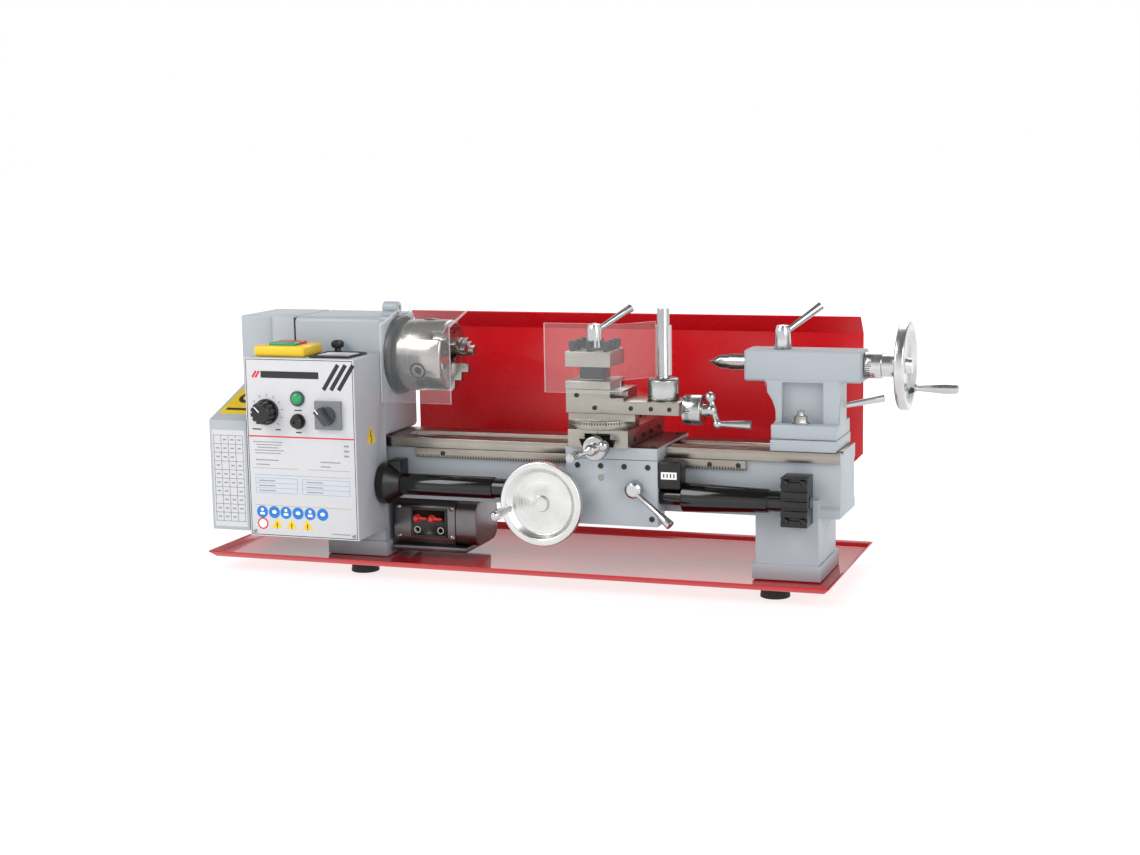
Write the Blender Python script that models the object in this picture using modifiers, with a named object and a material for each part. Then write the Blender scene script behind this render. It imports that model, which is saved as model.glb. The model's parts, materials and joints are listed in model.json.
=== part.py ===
"""Bench mini-lathe: bed, headstock, carriage, tailstock, controls and drive, one object for each piece.

X runs along the spindle towards the tailstock, from the chuck side face of the headstock. Y runs away from the
operator, from the spindle axis, and Z up from the bench. The whole lathe then hangs on one empty, which puts the
origin under the middle of its box.
"""

import math

import bmesh
import bpy
from mathutils import Euler, Matrix, Vector

MM = 0.001
GAP = 0.3 * MM  # between pieces that rest on, or run against, each other
CLEAR = 0.08 * MM  # radial running clearance of a shaft in its bore
ROUND = 32  # sides of a large turned piece
SMALL_ROUND = 16  # sides of a small turned piece

# Overall sizes
CENTRE_HEIGHT = 88 * MM  # spindle axis above the ways
BED_TOP = 152 * MM
BED_LEFT, BED_RIGHT = -108 * MM, 511 * MM
BED_WIDTH = 80 * MM
BED_DEPTH = 69 * MM
FOOT_HEIGHT, FOOT_RADIUS = 14.7 * MM, 16 * MM
SHEET = 1.6 * MM  # tray and splash guard

# Chip tray
TRAY_LEFT, TRAY_RIGHT = -194 * MM, 505 * MM
TRAY_FRONT, TRAY_BACK = -89.5 * MM, 138.3 * MM
RIM_OUT, RIM_UP = 7 * MM, 6.4 * MM

# Bed and legs
WAY_THICK = 14 * MM
RAIL_GAP = 26 * MM
WEB_RECESS = 4 * MM
WEB_INSIDE = 29 * MM  # half width of the hollow under the ways
STRIP = 11 * MM  # height of the ground edge above the rack
V_DEPTH = 3 * MM
V_CENTRE = -27 * MM
LEG_WIDTH, LEG_DEPTH = 67 * MM, 90 * MM
RIGHT_LEG, LEFT_LEG = 456 * MM, -37 * MM
LEG_FLARE, FLARE_HEIGHT = 3 * MM, 17 * MM
FOOT_PLACES = [(-27 * MM, -50 * MM), (445 * MM, -50 * MM), (-27 * MM, 60 * MM), (445 * MM, 60 * MM)]

# Rack and leadscrew
RACK_LEFT, RACK_RIGHT = 34 * MM, 412 * MM
RACK_MODULE = 1 * MM
RACK_HEIGHT = 11 * MM
SCREW_Y, SCREW_Z = -58.5 * MM, 103 * MM
SCREW_RADIUS = 8 * MM
BRACKET_WIDTH = 18 * MM
RIGHT_BRACKET = 456 * MM
RIGHT_BRACKET_WIDTH = 28 * MM
COVER_WALL = 1.2 * MM

# Headstock
HEAD_LEFT = -109 * MM
HEAD_FRONT, HEAD_BACK = -45 * MM, 47 * MM
HEAD_TOP = 285 * MM
COVER_LEFT, COVER_RIGHT = -178 * MM, -131.6 * MM
COVER_FRONT = -122 * MM
COVER_WALL_THICK = 2.5 * MM
COVER_BACK_LOW = 42.5 * MM  # just under the motor pulley
BOX_LEFT, BOX_RIGHT = -130.6 * MM, 1 * MM
BOX_FRONT, BOX_BOTTOM, BOX_TOP = -120.7 * MM, 49.4 * MM, 247 * MM
BOX_WALL = 2.5 * MM
PANEL_THICK = 1.2 * MM
SELECTOR_X, SELECTOR_Z, SELECTOR_HALF = -29.5 * MM, 186.5 * MM, 15.5 * MM
BEARING_RING_RADIUS, BEARING_RING_LENGTH = 44.6 * MM, 7.5 * MM

# Spindle and chuck
SPINDLE_BORE, SPINDLE_RADIUS = 10 * MM, 16 * MM
CHUCK_RADIUS, CHUCK_LEFT, CHUCK_FACE = 40 * MM, 8.2 * MM, 65.5 * MM
CHUCK_BORE = 8 * MM
JAW_WIDTH, JAW_HEIGHT, JAW_DEPTH = 9 * MM, 20.5 * MM, 13 * MM
JAW_INNER, JAW_OUTER = 9 * MM, 37 * MM

# Gears behind the cover
GEAR_MODULE = 1.5 * MM
GEAR_X, GEAR_WIDTH = -163 * MM, 8 * MM
STUD_STEP = 9 * MM
SPINDLE_TEETH, IDLER_TEETH, STUD_TEETH, STUD_SMALL_TEETH, SCREW_TEETH = 30, 24, 54, 16, 54
BELT_X, BELT_WIDTH, BELT_THICK = -120 * MM, 9 * MM, 2.4 * MM
MOTOR_PULLEY, SPINDLE_PULLEY = 8 * MM, 24 * MM

# Motor
MOTOR_LEFT, MOTOR_RIGHT = 1.5 * MM, 103 * MM
MOTOR_Y, MOTOR_Z = -4 * MM, 57 * MM
MOTOR_HALF_WIDTH, MOTOR_BOTTOM = 35 * MM, 24 * MM

# Chuck guard
GUARD_LEFT, GUARD_RIGHT = 2.5 * MM, 85 * MM
GUARD_FRONT, GUARD_LOW = -56 * MM, 193 * MM
GUARD_BEND_Z = 278 * MM
GUARD_HINGE = Vector((0, 3 * MM, 292.5 * MM))
GUARD_SHEET = 3 * MM

# Splash guard
SPLASH_Y = 112 * MM
SPLASH_LEFT, SPLASH_RIGHT = -26 * MM, 506 * MM
SPLASH_LOW, SPLASH_BEND, SPLASH_TOP = 118 * MM, 262 * MM, 281 * MM
SPLASH_LEAN = 17 * MM
SPLASH_CORNER = 10 * MM

# Carriage
SADDLE_LEFT, SADDLE_RIGHT = 222.6 * MM, 324.3 * MM
SADDLE_FRONT, SADDLE_BACK = -73 * MM, 47 * MM
SADDLE_THICK = 3 * MM
SADDLE_LIP = 9.5 * MM
APRON_BOTTOM, APRON_WALL = 71.5 * MM, 5 * MM
LOBE_RADIUS, LOBE_THICK = 23 * MM, 2.2 * MM
CROSS_LEFT, CROSS_RIGHT = 229.2 * MM, 295.6 * MM
CROSS_FRONT, CROSS_BACK = -83 * MM, 52 * MM
CROSS_THICK = 19 * MM
RIDGE_HALF, RIDGE_HEIGHT = 20 * MM, 9 * MM
CROSS_SCREW_X, CROSS_SCREW_RISE = 262 * MM, 4.5 * MM
WHEEL_X, WHEEL_Y, WHEEL_Z = 203.4 * MM, -92 * MM, 96 * MM
WHEEL_RADIUS, WHEEL_THICK = 45.5 * MM, 10 * MM
HANDLE_RING = 35.5 * MM
COMPOUND_X, COMPOUND_Y = 258 * MM, -48.7 * MM
SWIVEL_RADIUS, SWIVEL_THICK, BASE_THICK = 38 * MM, 8.5 * MM, 7 * MM
TOP_LEFT, TOP_RIGHT, TOP_HALF = 224 * MM, 348 * MM, 24 * MM
TOP_STEP, TOP_LOW, TOP_HIGH = 288 * MM, 13.5 * MM, 25 * MM
POST_X, POST_SIDE = 249 * MM, 50 * MM
POST_FLOOR, POST_SLOT, POST_HEAD = 8.8 * MM, 14.7 * MM, 16.4 * MM
POST_NECK = 13 * MM
DIAL_RADIUS = 16 * MM
TOOL_GUARD_X = 325 * MM
TOOL_GUARD_PLATE_Y = -88 * MM

# Tailstock
TAIL_LEFT, TAIL_RIGHT = 436.7 * MM, 506 * MM
BARREL_LEFT, BARREL_RIGHT = 404 * MM, 529 * MM
BARREL_HALF, BARREL_UP, BARREL_DOWN = 18.5 * MM, 15.5 * MM, 17.4 * MM
TAIL_BASE = 12 * MM
TAIL_STEP = 27.7 * MM
COLUMN_HALF = 18.5 * MM
QUILL_RADIUS = 12 * MM
CENTRE_RADIUS, CENTRE_TIP = 8.9 * MM, 361 * MM
TAIL_WHEEL_LEFT, TAIL_WHEEL_RIGHT = 565.5 * MM, 576 * MM
TAIL_WHEEL_RADIUS = 46 * MM
TAIL_HANDLE_END = 622 * MM
QUILL_LEVER_X = 441.5 * MM

AXIS_Z = BED_TOP + CENTRE_HEIGHT
BED_BOTTOM = BED_TOP - BED_DEPTH
TRAY_TOP = FOOT_HEIGHT + GAP + SHEET
CROSS_LOW = BED_TOP + SADDLE_THICK + 2 * GAP
CROSS_HIGH = CROSS_LOW + CROSS_THICK
SWIVEL_LOW = CROSS_HIGH + GAP
SWIVEL_HIGH = SWIVEL_LOW + SWIVEL_THICK + BASE_THICK
SLIDE_LOW = SWIVEL_HIGH + GAP
POST_LOW = SLIDE_LOW + TOP_HIGH + GAP

# Colours: base colour, metallic, roughness
FINISHES = {
    "grey_paint": ((0.36, 0.41, 0.45), 0.0, 0.42),
    "red_paint": ((0.62, 0.012, 0.018), 0.0, 0.2),
    "white_panel": ((0.8, 0.82, 0.84), 0.0, 0.4),
    "ground_steel": ((0.5, 0.48, 0.45), 1.0, 0.35),
    "chrome": ((0.75, 0.75, 0.75), 1.0, 0.12),
    "aluminium": ((0.72, 0.72, 0.72), 1.0, 0.28),
    "black_plastic": ((0.012, 0.012, 0.014), 0.0, 0.3),
    "rubber": ((0.01, 0.01, 0.01), 0.0, 0.75),
    "dark_casting": ((0.12, 0.11, 0.11), 0.6, 0.5),
    "yellow_plastic": ((0.8, 0.5, 0.02), 0.0, 0.35),
    "green_plastic": ((0.02, 0.3, 0.08), 0.0, 0.3),
    "red_plastic": ((0.6, 0.03, 0.03), 0.0, 0.3),
    "clear_plastic": ((0.85, 0.9, 0.9), 0.0, 0.05),
}

# Joint axes that more than one piece shares
SPINDLE_AT = Vector((0, 0, AXIS_Z))
GUARD_AT = GUARD_HINGE
WHEEL_AT = Vector((WHEEL_X, WHEEL_Y, WHEEL_Z))
COMPOUND_AT = Vector((COMPOUND_X, COMPOUND_Y, SWIVEL_LOW))
POST_AT = Vector((POST_X, COMPOUND_Y, POST_LOW))
TOOL_GUARD_AT = Vector((TOOL_GUARD_X, COMPOUND_Y, SLIDE_LOW + TOP_LOW + GAP))
TAIL_AT = Vector((TAIL_RIGHT, 0, AXIS_Z))

TOWARDS = {
    "+X": Euler((0, math.pi / 2, 0)),
    "-X": Euler((0, -math.pi / 2, 0)),
    "+Y": Euler((-math.pi / 2, 0, 0)),
    "-Y": Euler((math.pi / 2, 0, 0)),
    "+Z": Euler((0, 0, 0)),
}
FLAT = {
    "X": Euler((math.pi / 2, 0, math.pi / 2)),
    "Y": Euler((math.pi / 2, 0, 0)),
    "Z": Euler((0, 0, 0)),
}

parts = None
helpers = None
bodies = {}


def clear_scene():
    """Remove every object, then make the collection of parts and the one of helpers."""
    global parts, helpers
    for old in list(bpy.data.objects):
        bpy.data.objects.remove(old, do_unlink=True)
    parts = bpy.data.collections.new("metal_lathe")
    helpers = bpy.data.collections.new("cutters")
    for collection in (parts, helpers):
        bpy.context.scene.collection.children.link(collection)


def finish_of(name):
    """The material of this finish, made once."""
    found = bpy.data.materials.get(name)
    if found:
        return found
    colour, metallic, roughness = FINISHES[name]
    made = bpy.data.materials.new(name)
    made.use_nodes = True
    shader = made.node_tree.nodes["Principled BSDF"]
    shader.inputs["Base Color"].default_value = (*colour, 1)
    shader.inputs["Metallic"].default_value = metallic
    shader.inputs["Roughness"].default_value = roughness
    return made


def add_body(name, at=(0, 0, 0), parent=None):
    """An empty on the joint axis of a moving body."""
    empty = bpy.data.objects.new(name + "_axis", None)
    parts.objects.link(empty)
    at = Vector(at)
    empty.empty_display_size = 0.02
    if parent:
        empty.parent = bodies[parent][0]
        empty.location = at - bodies[parent][1]
    else:
        empty.location = at
    bodies[name] = (empty, at)


def put(mesh_or_curve, name, at=(0, 0, 0), turn=None, helper=False):
    """Link new data as an object at a place."""
    made = bpy.data.objects.new(name, mesh_or_curve)
    made.location = at
    if turn is not None:
        made.rotation_euler = turn
    if helper:
        made.hide_render = True
        made.display_type = "WIRE"
        helpers.objects.link(made)
    else:
        parts.objects.link(made)
    return made


def dress(obj, body, finish, smooth=False):
    """Give a piece its body and finish."""
    empty, at = bodies[body]
    for one in [obj] + list(obj.get("cutter_names", [])):
        piece = bpy.data.objects[one] if isinstance(one, str) else one
        piece.parent = empty
        piece.location = Vector(piece.location) - at
    obj.data.materials.clear()
    obj.data.materials.append(finish_of(finish))
    if smooth:
        obj.data.shade_smooth()
        obj.data.set_sharp_from_angle(angle=math.radians(35))
    return obj


def box(name, low, high, helper=False, round_edges=0, segments=2):
    """A block between two corners."""
    low, high = Vector(low), Vector(high)
    shape = bmesh.new()
    bmesh.ops.create_cube(shape, size=1)
    bmesh.ops.scale(shape, vec=high - low, verts=shape.verts)
    mesh = bpy.data.meshes.new(name)
    shape.to_mesh(mesh)
    shape.free()
    made = put(mesh, name, (low + high) / 2, helper=helper)
    if round_edges:
        bevel(made, round_edges, segments)
    return made


def bevel(obj, width, segments=2, angle=30):
    """Round the edges sharper than an angle."""
    rounding = obj.modifiers.new("round", "BEVEL")
    rounding.width = width
    rounding.segments = segments
    rounding.limit_method = "ANGLE"
    rounding.angle_limit = math.radians(angle)


def turned(name, at, towards, profile, sides=ROUND, helper=False):
    """A turned piece. The profile lists (along, radius) outwards along the axis, and closes at the axis or on itself."""
    hollow = profile[0] == profile[-1]
    points = [Vector((radius, 0, along)) for along, radius in reversed(profile)]
    if hollow:
        points = points[:-1]
    mesh = bpy.data.meshes.new(name)
    edges = [(i, i + 1) for i in range(len(points) - 1)]
    if hollow:
        edges.append((len(points) - 1, 0))
    mesh.from_pydata(points, edges, [])
    made = put(mesh, name, at, TOWARDS[towards], helper)
    screw = made.modifiers.new("turn", "SCREW")
    screw.axis = "Z"
    screw.steps = screw.render_steps = sides
    screw.use_merge_vertices = True
    screw.merge_threshold = 0.00001
    screw.use_smooth_shade = True
    return made


def rod(name, at, towards, length, radius, sides=SMALL_ROUND, helper=False):
    """A plain cylinder from a point along an axis."""
    return turned(name, at, towards, [(0, 0), (0, radius), (length, radius), (length, 0)], sides, helper)


def rod_between(name, start, end, radius, end_radius=None, sides=12, helper=False):
    """A straight round bar between two points, tapered when it has an end radius."""
    start, end = Vector(start), Vector(end)
    shape = bmesh.new()
    bmesh.ops.create_cone(
        shape, cap_ends=True, segments=sides, radius1=radius,
        radius2=radius if end_radius is None else end_radius, depth=(end - start).length,
    )
    mesh = bpy.data.meshes.new(name)
    shape.to_mesh(mesh)
    shape.free()
    turn = (end - start).to_track_quat("Z", "Y").to_euler()
    return put(mesh, name, (start + end) / 2, turn, helper)


def ball(name, at, radius, helper=False):
    """A sphere."""
    shape = bmesh.new()
    bmesh.ops.create_uvsphere(shape, u_segments=14, v_segments=8, radius=radius)
    mesh = bpy.data.meshes.new(name)
    shape.to_mesh(mesh)
    shape.free()
    return put(mesh, name, at, helper=helper)


def plate(name, outlines, axis, low, high, helper=False):
    """A flat outline, with any holes, extruded along an axis. X takes (y, z) points, Y takes (x, z), Z takes (x, y)."""
    curve = bpy.data.curves.new(name, "CURVE")
    curve.dimensions = "2D"
    curve.fill_mode = "BOTH"
    curve.extrude = (high - low) / 2
    if isinstance(outlines[0][0], (int, float)):
        outlines = [outlines]
    for outline in outlines:
        spline = curve.splines.new("POLY")
        spline.points.add(len(outline) - 1)
        for point, (u, v) in zip(spline.points, outline):
            point.co = (u, v, 0, 1)
        spline.use_cyclic_u = True
    holder = bpy.data.objects.new(name + "_outline", curve)
    bpy.context.scene.collection.objects.link(holder)
    bpy.context.view_layer.update()
    mesh = bpy.data.meshes.new_from_object(holder.evaluated_get(bpy.context.evaluated_depsgraph_get()))
    bpy.data.objects.remove(holder, do_unlink=True)
    shape = bmesh.new()
    shape.from_mesh(mesh)
    bmesh.ops.remove_doubles(shape, verts=shape.verts, dist=0.000001)
    bmesh.ops.recalc_face_normals(shape, faces=shape.faces)
    shape.to_mesh(mesh)
    shape.free()
    middle = (low + high) / 2
    at = {"X": (middle, 0, 0), "Y": (0, middle, 0), "Z": (0, 0, middle)}[axis]
    return put(mesh, name, at, FLAT[axis], helper)


def arc(centre, radius, start, end, steps):
    """Points along an arc, in degrees."""
    turns = [math.radians(start + (end - start) * i / steps) for i in range(steps + 1)]
    return [(centre[0] + radius * math.cos(a), centre[1] + radius * math.sin(a)) for a in turns]


def rounded_rectangle(left, right, low, high, radius, steps=4):
    """A rectangle with round corners."""
    return (
        arc((right - radius, low + radius), radius, -90, 0, steps)
        + arc((right - radius, high - radius), radius, 0, 90, steps)
        + arc((left + radius, high - radius), radius, 90, 180, steps)
        + arc((left + radius, low + radius), radius, 180, 270, steps)
    )


def boolean(obj, other, operation):
    """Cut one piece with a helper, or join the helper to it."""
    other.hide_render = True
    other.display_type = "WIRE"
    modifier = obj.modifiers.new(operation.lower(), "BOOLEAN")
    modifier.operation = operation
    modifier.solver = "EXACT"
    modifier.object = other
    obj["cutter_names"] = list(obj.get("cutter_names", [])) + [other.name] + list(other.get("cutter_names", []))
    return obj


def cut(obj, *cutters):
    """Cut helpers out of a piece."""
    for cutter in cutters:
        boolean(obj, cutter, "DIFFERENCE")
    return obj


def join(obj, *others):
    """Join helpers to a piece, as one body."""
    for other in others:
        boolean(obj, other, "UNION")
    return obj


def bore(name, at, towards, length, radius, sides=SMALL_ROUND):
    """A helper that cuts a round hole. The radius is at the middle of its flat sides, so a shaft turns in it."""
    return rod(name + "_bore", at, towards, length, radius / math.cos(math.pi / sides), sides, helper=True)


def block(name, low, high):
    """A helper block, for a cut or a join."""
    return box(name + "_block", low, high, helper=True)


# ---------------------------------------------------------------- bed and stand


def make_feet():
    """Four rubber feet under the tray, each a little wider at the bench."""
    for number, (x, y) in enumerate(FOOT_PLACES, 1):
        profile = [(0, 0), (0, FOOT_RADIUS), (FOOT_HEIGHT, FOOT_RADIUS - 2 * MM), (FOOT_HEIGHT, 0)]
        dress(turned(f"rubber_foot_{number}", (x, y, 0), "+Z", profile, 24), "bed", "rubber", True)


def make_tray():
    """The pressed chip tray: a flat floor with a rim that leans outwards."""
    low = FOOT_HEIGHT + GAP
    outer = ((TRAY_LEFT, TRAY_RIGHT), (TRAY_FRONT, TRAY_BACK))
    shape = bmesh.new()
    floor = [shape.verts.new((x, y, low)) for x, y in _corners(outer, 0)]
    rim = [shape.verts.new((x, y, low + RIM_UP)) for x, y in _corners(outer, RIM_OUT)]
    shape.faces.new(floor)
    for i in range(4):
        shape.faces.new((floor[i], rim[i], rim[(i + 1) % 4], floor[(i + 1) % 4]))
    bmesh.ops.recalc_face_normals(shape, faces=shape.faces)
    mesh = bpy.data.meshes.new("chip_tray")
    shape.to_mesh(mesh)
    shape.free()
    tray = put(mesh, "chip_tray")
    wall = tray.modifiers.new("sheet", "SOLIDIFY")
    wall.thickness = SHEET
    wall.offset = 1 if mesh.polygons[0].normal.z > 0 else -1
    dress(tray, "bed", "red_paint")


def _corners(outer, grow):
    (left, right), (front, back) = outer
    return [
        (left - grow, front - grow), (right + grow, front - grow),
        (right + grow, back + grow), (left - grow, back + grow),
    ]


def leg(name, middle):
    """One leg: a column with a flared foot, as a helper that joins the bed."""
    half, depth = LEG_WIDTH / 2, LEG_DEPTH / 2
    low = TRAY_TOP + GAP
    column = block(name, (middle - half, -depth, low), (middle + half, depth, BED_BOTTOM + 20 * MM))
    flare = block(
        name + "_flare",
        (middle - half - LEG_FLARE, -depth - LEG_FLARE, low),
        (middle + half + LEG_FLARE, depth + LEG_FLARE, low + FLARE_HEIGHT),
    )
    return column, flare


def make_bed():
    """The bed casting: two rails with a V on the front one, hollow between them, on two legs."""
    half = BED_WIDTH / 2
    recess_low = BED_BOTTOM + 9 * MM
    recess_high = BED_TOP - STRIP - RACK_HEIGHT - 1 * MM
    inner = half - WEB_RECESS
    section = [
        (-half, BED_BOTTOM), (half, BED_BOTTOM), (half, recess_low), (inner, recess_low + WEB_RECESS),
        (inner, BED_TOP - WAY_THICK - WEB_RECESS), (half, BED_TOP - WAY_THICK), (half, BED_TOP),
        (V_CENTRE + 2 * V_DEPTH, BED_TOP), (V_CENTRE + V_DEPTH, BED_TOP - V_DEPTH), (V_CENTRE, BED_TOP),
        (V_CENTRE - V_DEPTH, BED_TOP - V_DEPTH), (V_CENTRE - 2 * V_DEPTH, BED_TOP),
        (-half, BED_TOP), (-half, BED_TOP - STRIP), (-inner, BED_TOP - STRIP),
        (-inner, recess_high), (-inner, recess_low + WEB_RECESS), (-half, recess_low),
    ]
    bed = plate("bed_casting", section, "X", BED_LEFT, BED_RIGHT)
    end = 10 * MM
    over = 1 * MM
    slot = block(
        "rail_gap", (BED_LEFT + 120 * MM, -RAIL_GAP / 2, BED_BOTTOM - over),
        (BED_RIGHT - end, RAIL_GAP / 2, BED_TOP + over),
    )
    hollow = block(
        "under_ways", (BED_LEFT + 120 * MM, -WEB_INSIDE, BED_BOTTOM - over),
        (BED_RIGHT - end, WEB_INSIDE, BED_TOP - WAY_THICK),
    )
    leg_gap = block(
        "leg_gap", (RIGHT_LEG - LEG_WIDTH / 2 + 9 * MM, -WEB_INSIDE, TRAY_TOP),
        (RIGHT_LEG + LEG_WIDTH / 2 - 9 * MM, WEB_INSIDE, BED_BOTTOM + 25 * MM),
    )
    shaft_hole = bore("motor_shaft_way", (BED_LEFT - over, MOTOR_Y, MOTOR_Z), "+X", 130 * MM, 9 * MM)
    join(bed, *leg("right_leg", RIGHT_LEG), *leg("left_leg", LEFT_LEG))
    cut(bed, slot, hollow, leg_gap, shaft_hole)
    dress(bed, "bed", "grey_paint")


def make_splash_guard():
    """The sheet behind the work: its top is bent forwards, and two arms hold it to the bed."""
    middle = SPLASH_Y - SHEET / 2
    shape = bmesh.new()
    heights = [(middle, SPLASH_LOW), (middle, SPLASH_BEND), (middle - SPLASH_LEAN, SPLASH_TOP)]
    rows = []
    for number, (y, z) in enumerate(heights):
        right = SPLASH_RIGHT - (SPLASH_CORNER if number == 0 else 0)
        rows.append((shape.verts.new((SPLASH_LEFT, y, z)), shape.verts.new((right, y, z))))
    corner = shape.verts.new((SPLASH_RIGHT, middle, SPLASH_LOW + SPLASH_CORNER))
    shape.faces.new((rows[0][0], rows[0][1], corner, rows[1][1], rows[1][0]))
    shape.faces.new((rows[1][0], rows[1][1], rows[2][1], rows[2][0]))
    mesh = bpy.data.meshes.new("splash_guard")
    shape.to_mesh(mesh)
    shape.free()
    guard = put(mesh, "splash_guard")
    wall = guard.modifiers.new("sheet", "SOLIDIFY")
    wall.thickness = SHEET
    wall.offset = 0
    back = BED_WIDTH / 2 + GAP
    for number, x in enumerate((40 * MM, 440 * MM)):
        arm = block(
            f"splash_arm_{number}", (x, back, BED_TOP - 22 * MM), (x + 24 * MM, middle, BED_TOP - 19 * MM)
        )
        tab = block(
            f"splash_tab_{number}", (x, back, BED_TOP - 22 * MM), (x + 24 * MM, back + 3 * MM, BED_TOP - 1 * MM)
        )
        join(guard, arm, tab)
    dress(guard, "bed", "red_paint")


def make_rack():
    """The rack under the front way, with its teeth pointing down."""
    top = BED_TOP - STRIP - GAP
    tip = top - RACK_HEIGHT + 2 * GAP
    root = tip + 2 * RACK_MODULE
    pitch = math.pi * RACK_MODULE
    count = int((RACK_RIGHT - RACK_LEFT) / pitch)
    outline = [(RACK_LEFT, top), (RACK_LEFT, root)]
    for tooth in range(count):
        start = RACK_LEFT + tooth * pitch
        outline += [(start + 0.5 * pitch, tip), (start + pitch, root)]
    outline += [(RACK_LEFT + count * pitch, top)]
    front = -BED_WIDTH / 2
    rack = plate("rack", outline, "Y", front, front + WEB_RECESS - GAP)
    dress(rack, "bed", "ground_steel")


# ---------------------------------------------------------------- headstock, covers and controls


def make_headstock(quadrant):
    """The headstock casting, bored for the spindle, with a boss for the guard hinge."""
    low = BED_TOP + GAP
    head = box("headstock_casting", (HEAD_LEFT, HEAD_FRONT, low), (0, HEAD_BACK, HEAD_TOP), round_edges=5 * MM)
    under = block(
        "head_under", (HEAD_LEFT + 12 * MM, HEAD_FRONT + 12 * MM, low - 1 * MM),
        (-12 * MM, HEAD_BACK - 12 * MM, AXIS_Z - 34 * MM),
    )
    boss = turned(
        "hinge_boss", (-19 * MM, GUARD_AT.y, GUARD_AT.z), "+X",
        [(0, 0), (0, 7 * MM), (19 * MM, 7 * MM), (19 * MM, 0)], 20, helper=True,
    )
    web = block(
        "hinge_web", (-19 * MM, GUARD_AT.y - 6 * MM, HEAD_TOP - 8 * MM), (-3 * MM, GUARD_AT.y + 6 * MM, GUARD_AT.z)
    )
    hole = bore("spindle_seat", (HEAD_LEFT - 1 * MM, 0, AXIS_Z), "+X", 112 * MM, SPINDLE_RADIUS + CLEAR, ROUND)
    pin = bore("guard_pin", (-20 * MM, GUARD_AT.y, GUARD_AT.z), "+X", 21 * MM, 3 * MM + CLEAR)
    join(head, web, boss)
    cut(head, under, hole, pin)
    join(head, quadrant)
    dress(head, "bed", "grey_paint")


def make_bearing_ring():
    """The cap that holds the front spindle bearing."""
    ring = turned(
        "bearing_ring", (GAP, 0, AXIS_Z), "+X",
        [
            (0, SPINDLE_RADIUS + 6 * MM), (0, BEARING_RING_RADIUS), (BEARING_RING_LENGTH - 2 * MM, BEARING_RING_RADIUS),
            (BEARING_RING_LENGTH, BEARING_RING_RADIUS - 2 * MM), (BEARING_RING_LENGTH, SPINDLE_RADIUS + 6 * MM),
            (0, SPINDLE_RADIUS + 6 * MM),
        ],
        40,
    )
    dress(ring, "bed", "dark_casting", True)


def cover_section(inset):
    """The side view of the gear cover: a high back, a slope and a low front. Inset gives the hollow."""
    front, low, high = COVER_FRONT + inset, COVER_BACK_LOW + inset, HEAD_TOP - inset
    slope_low, slope_high = BED_TOP + 25 * MM - inset, BED_TOP + 55 * MM - inset
    shoulder = -40 * MM + inset
    back = HEAD_BACK + 1 * MM - inset
    step = -45.5 * MM
    return [
        (front, BED_TOP - 98 * MM + inset), (step - 4 * MM, BED_TOP - 98 * MM + inset), (step, low), (back, low),
        (back, high), (shoulder, high), (shoulder, slope_high), (front, slope_low),
    ]


def make_gear_cover():
    """The gear cover, open on the side that faces the headstock."""
    cover = plate("gear_cover", cover_section(0), "X", COVER_LEFT, COVER_RIGHT)
    back_box = block(
        "cover_back", (COVER_RIGHT - 5 * MM, HEAD_FRONT + 1 * MM, COVER_BACK_LOW),
        (HEAD_LEFT - GAP, HEAD_BACK + 1 * MM, HEAD_TOP),
    )
    wall = COVER_WALL_THICK
    hollow = plate("cover_hollow", cover_section(wall), "X", COVER_LEFT + wall, COVER_RIGHT + 1 * MM, helper=True)
    back_hollow = block(
        "cover_back_hollow", (COVER_RIGHT - 6 * MM, HEAD_FRONT + 1 * MM + wall, COVER_BACK_LOW + wall),
        (HEAD_LEFT + 1 * MM, HEAD_BACK + 1 * MM - wall, HEAD_TOP - wall),
    )
    join(cover, back_box)
    cut(cover, hollow, back_hollow)
    dress(cover, "bed", "grey_paint")


def make_control_box():
    """The control box, a shell open at its back, with ways through for the leadscrew."""
    shell = box("control_box", (BOX_LEFT, BOX_FRONT, BOX_BOTTOM), (BOX_RIGHT, HEAD_FRONT - GAP, BOX_TOP))
    hollow = block(
        "box_hollow", (BOX_LEFT + BOX_WALL, BOX_FRONT + BOX_WALL, BOX_BOTTOM + BOX_WALL),
        (BOX_RIGHT - BOX_WALL, HEAD_FRONT + 5 * MM, BOX_TOP - BOX_WALL),
    )
    way = bore("screw_way", (BOX_LEFT - 5 * MM, SCREW_Y, SCREW_Z), "+X", 160 * MM, SCREW_RADIUS + 3 * MM)
    cut(shell, hollow, way)
    dress(shell, "bed", "grey_paint")
    panel = box(
        "control_panel", (BOX_LEFT, BOX_FRONT - GAP - PANEL_THICK, BOX_BOTTOM), (BOX_RIGHT, BOX_FRONT - GAP, BOX_TOP)
    )
    half, face = SELECTOR_HALF, BOX_FRONT - GAP - PANEL_THICK
    selector = block(
        "selector_plate", (SELECTOR_X - half, face - 5 * MM, SELECTOR_Z - half),
        (SELECTOR_X + half, face + 0.5 * MM, SELECTOR_Z + half),
    )
    dress(join(panel, selector), "bed", "white_panel")


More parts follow.
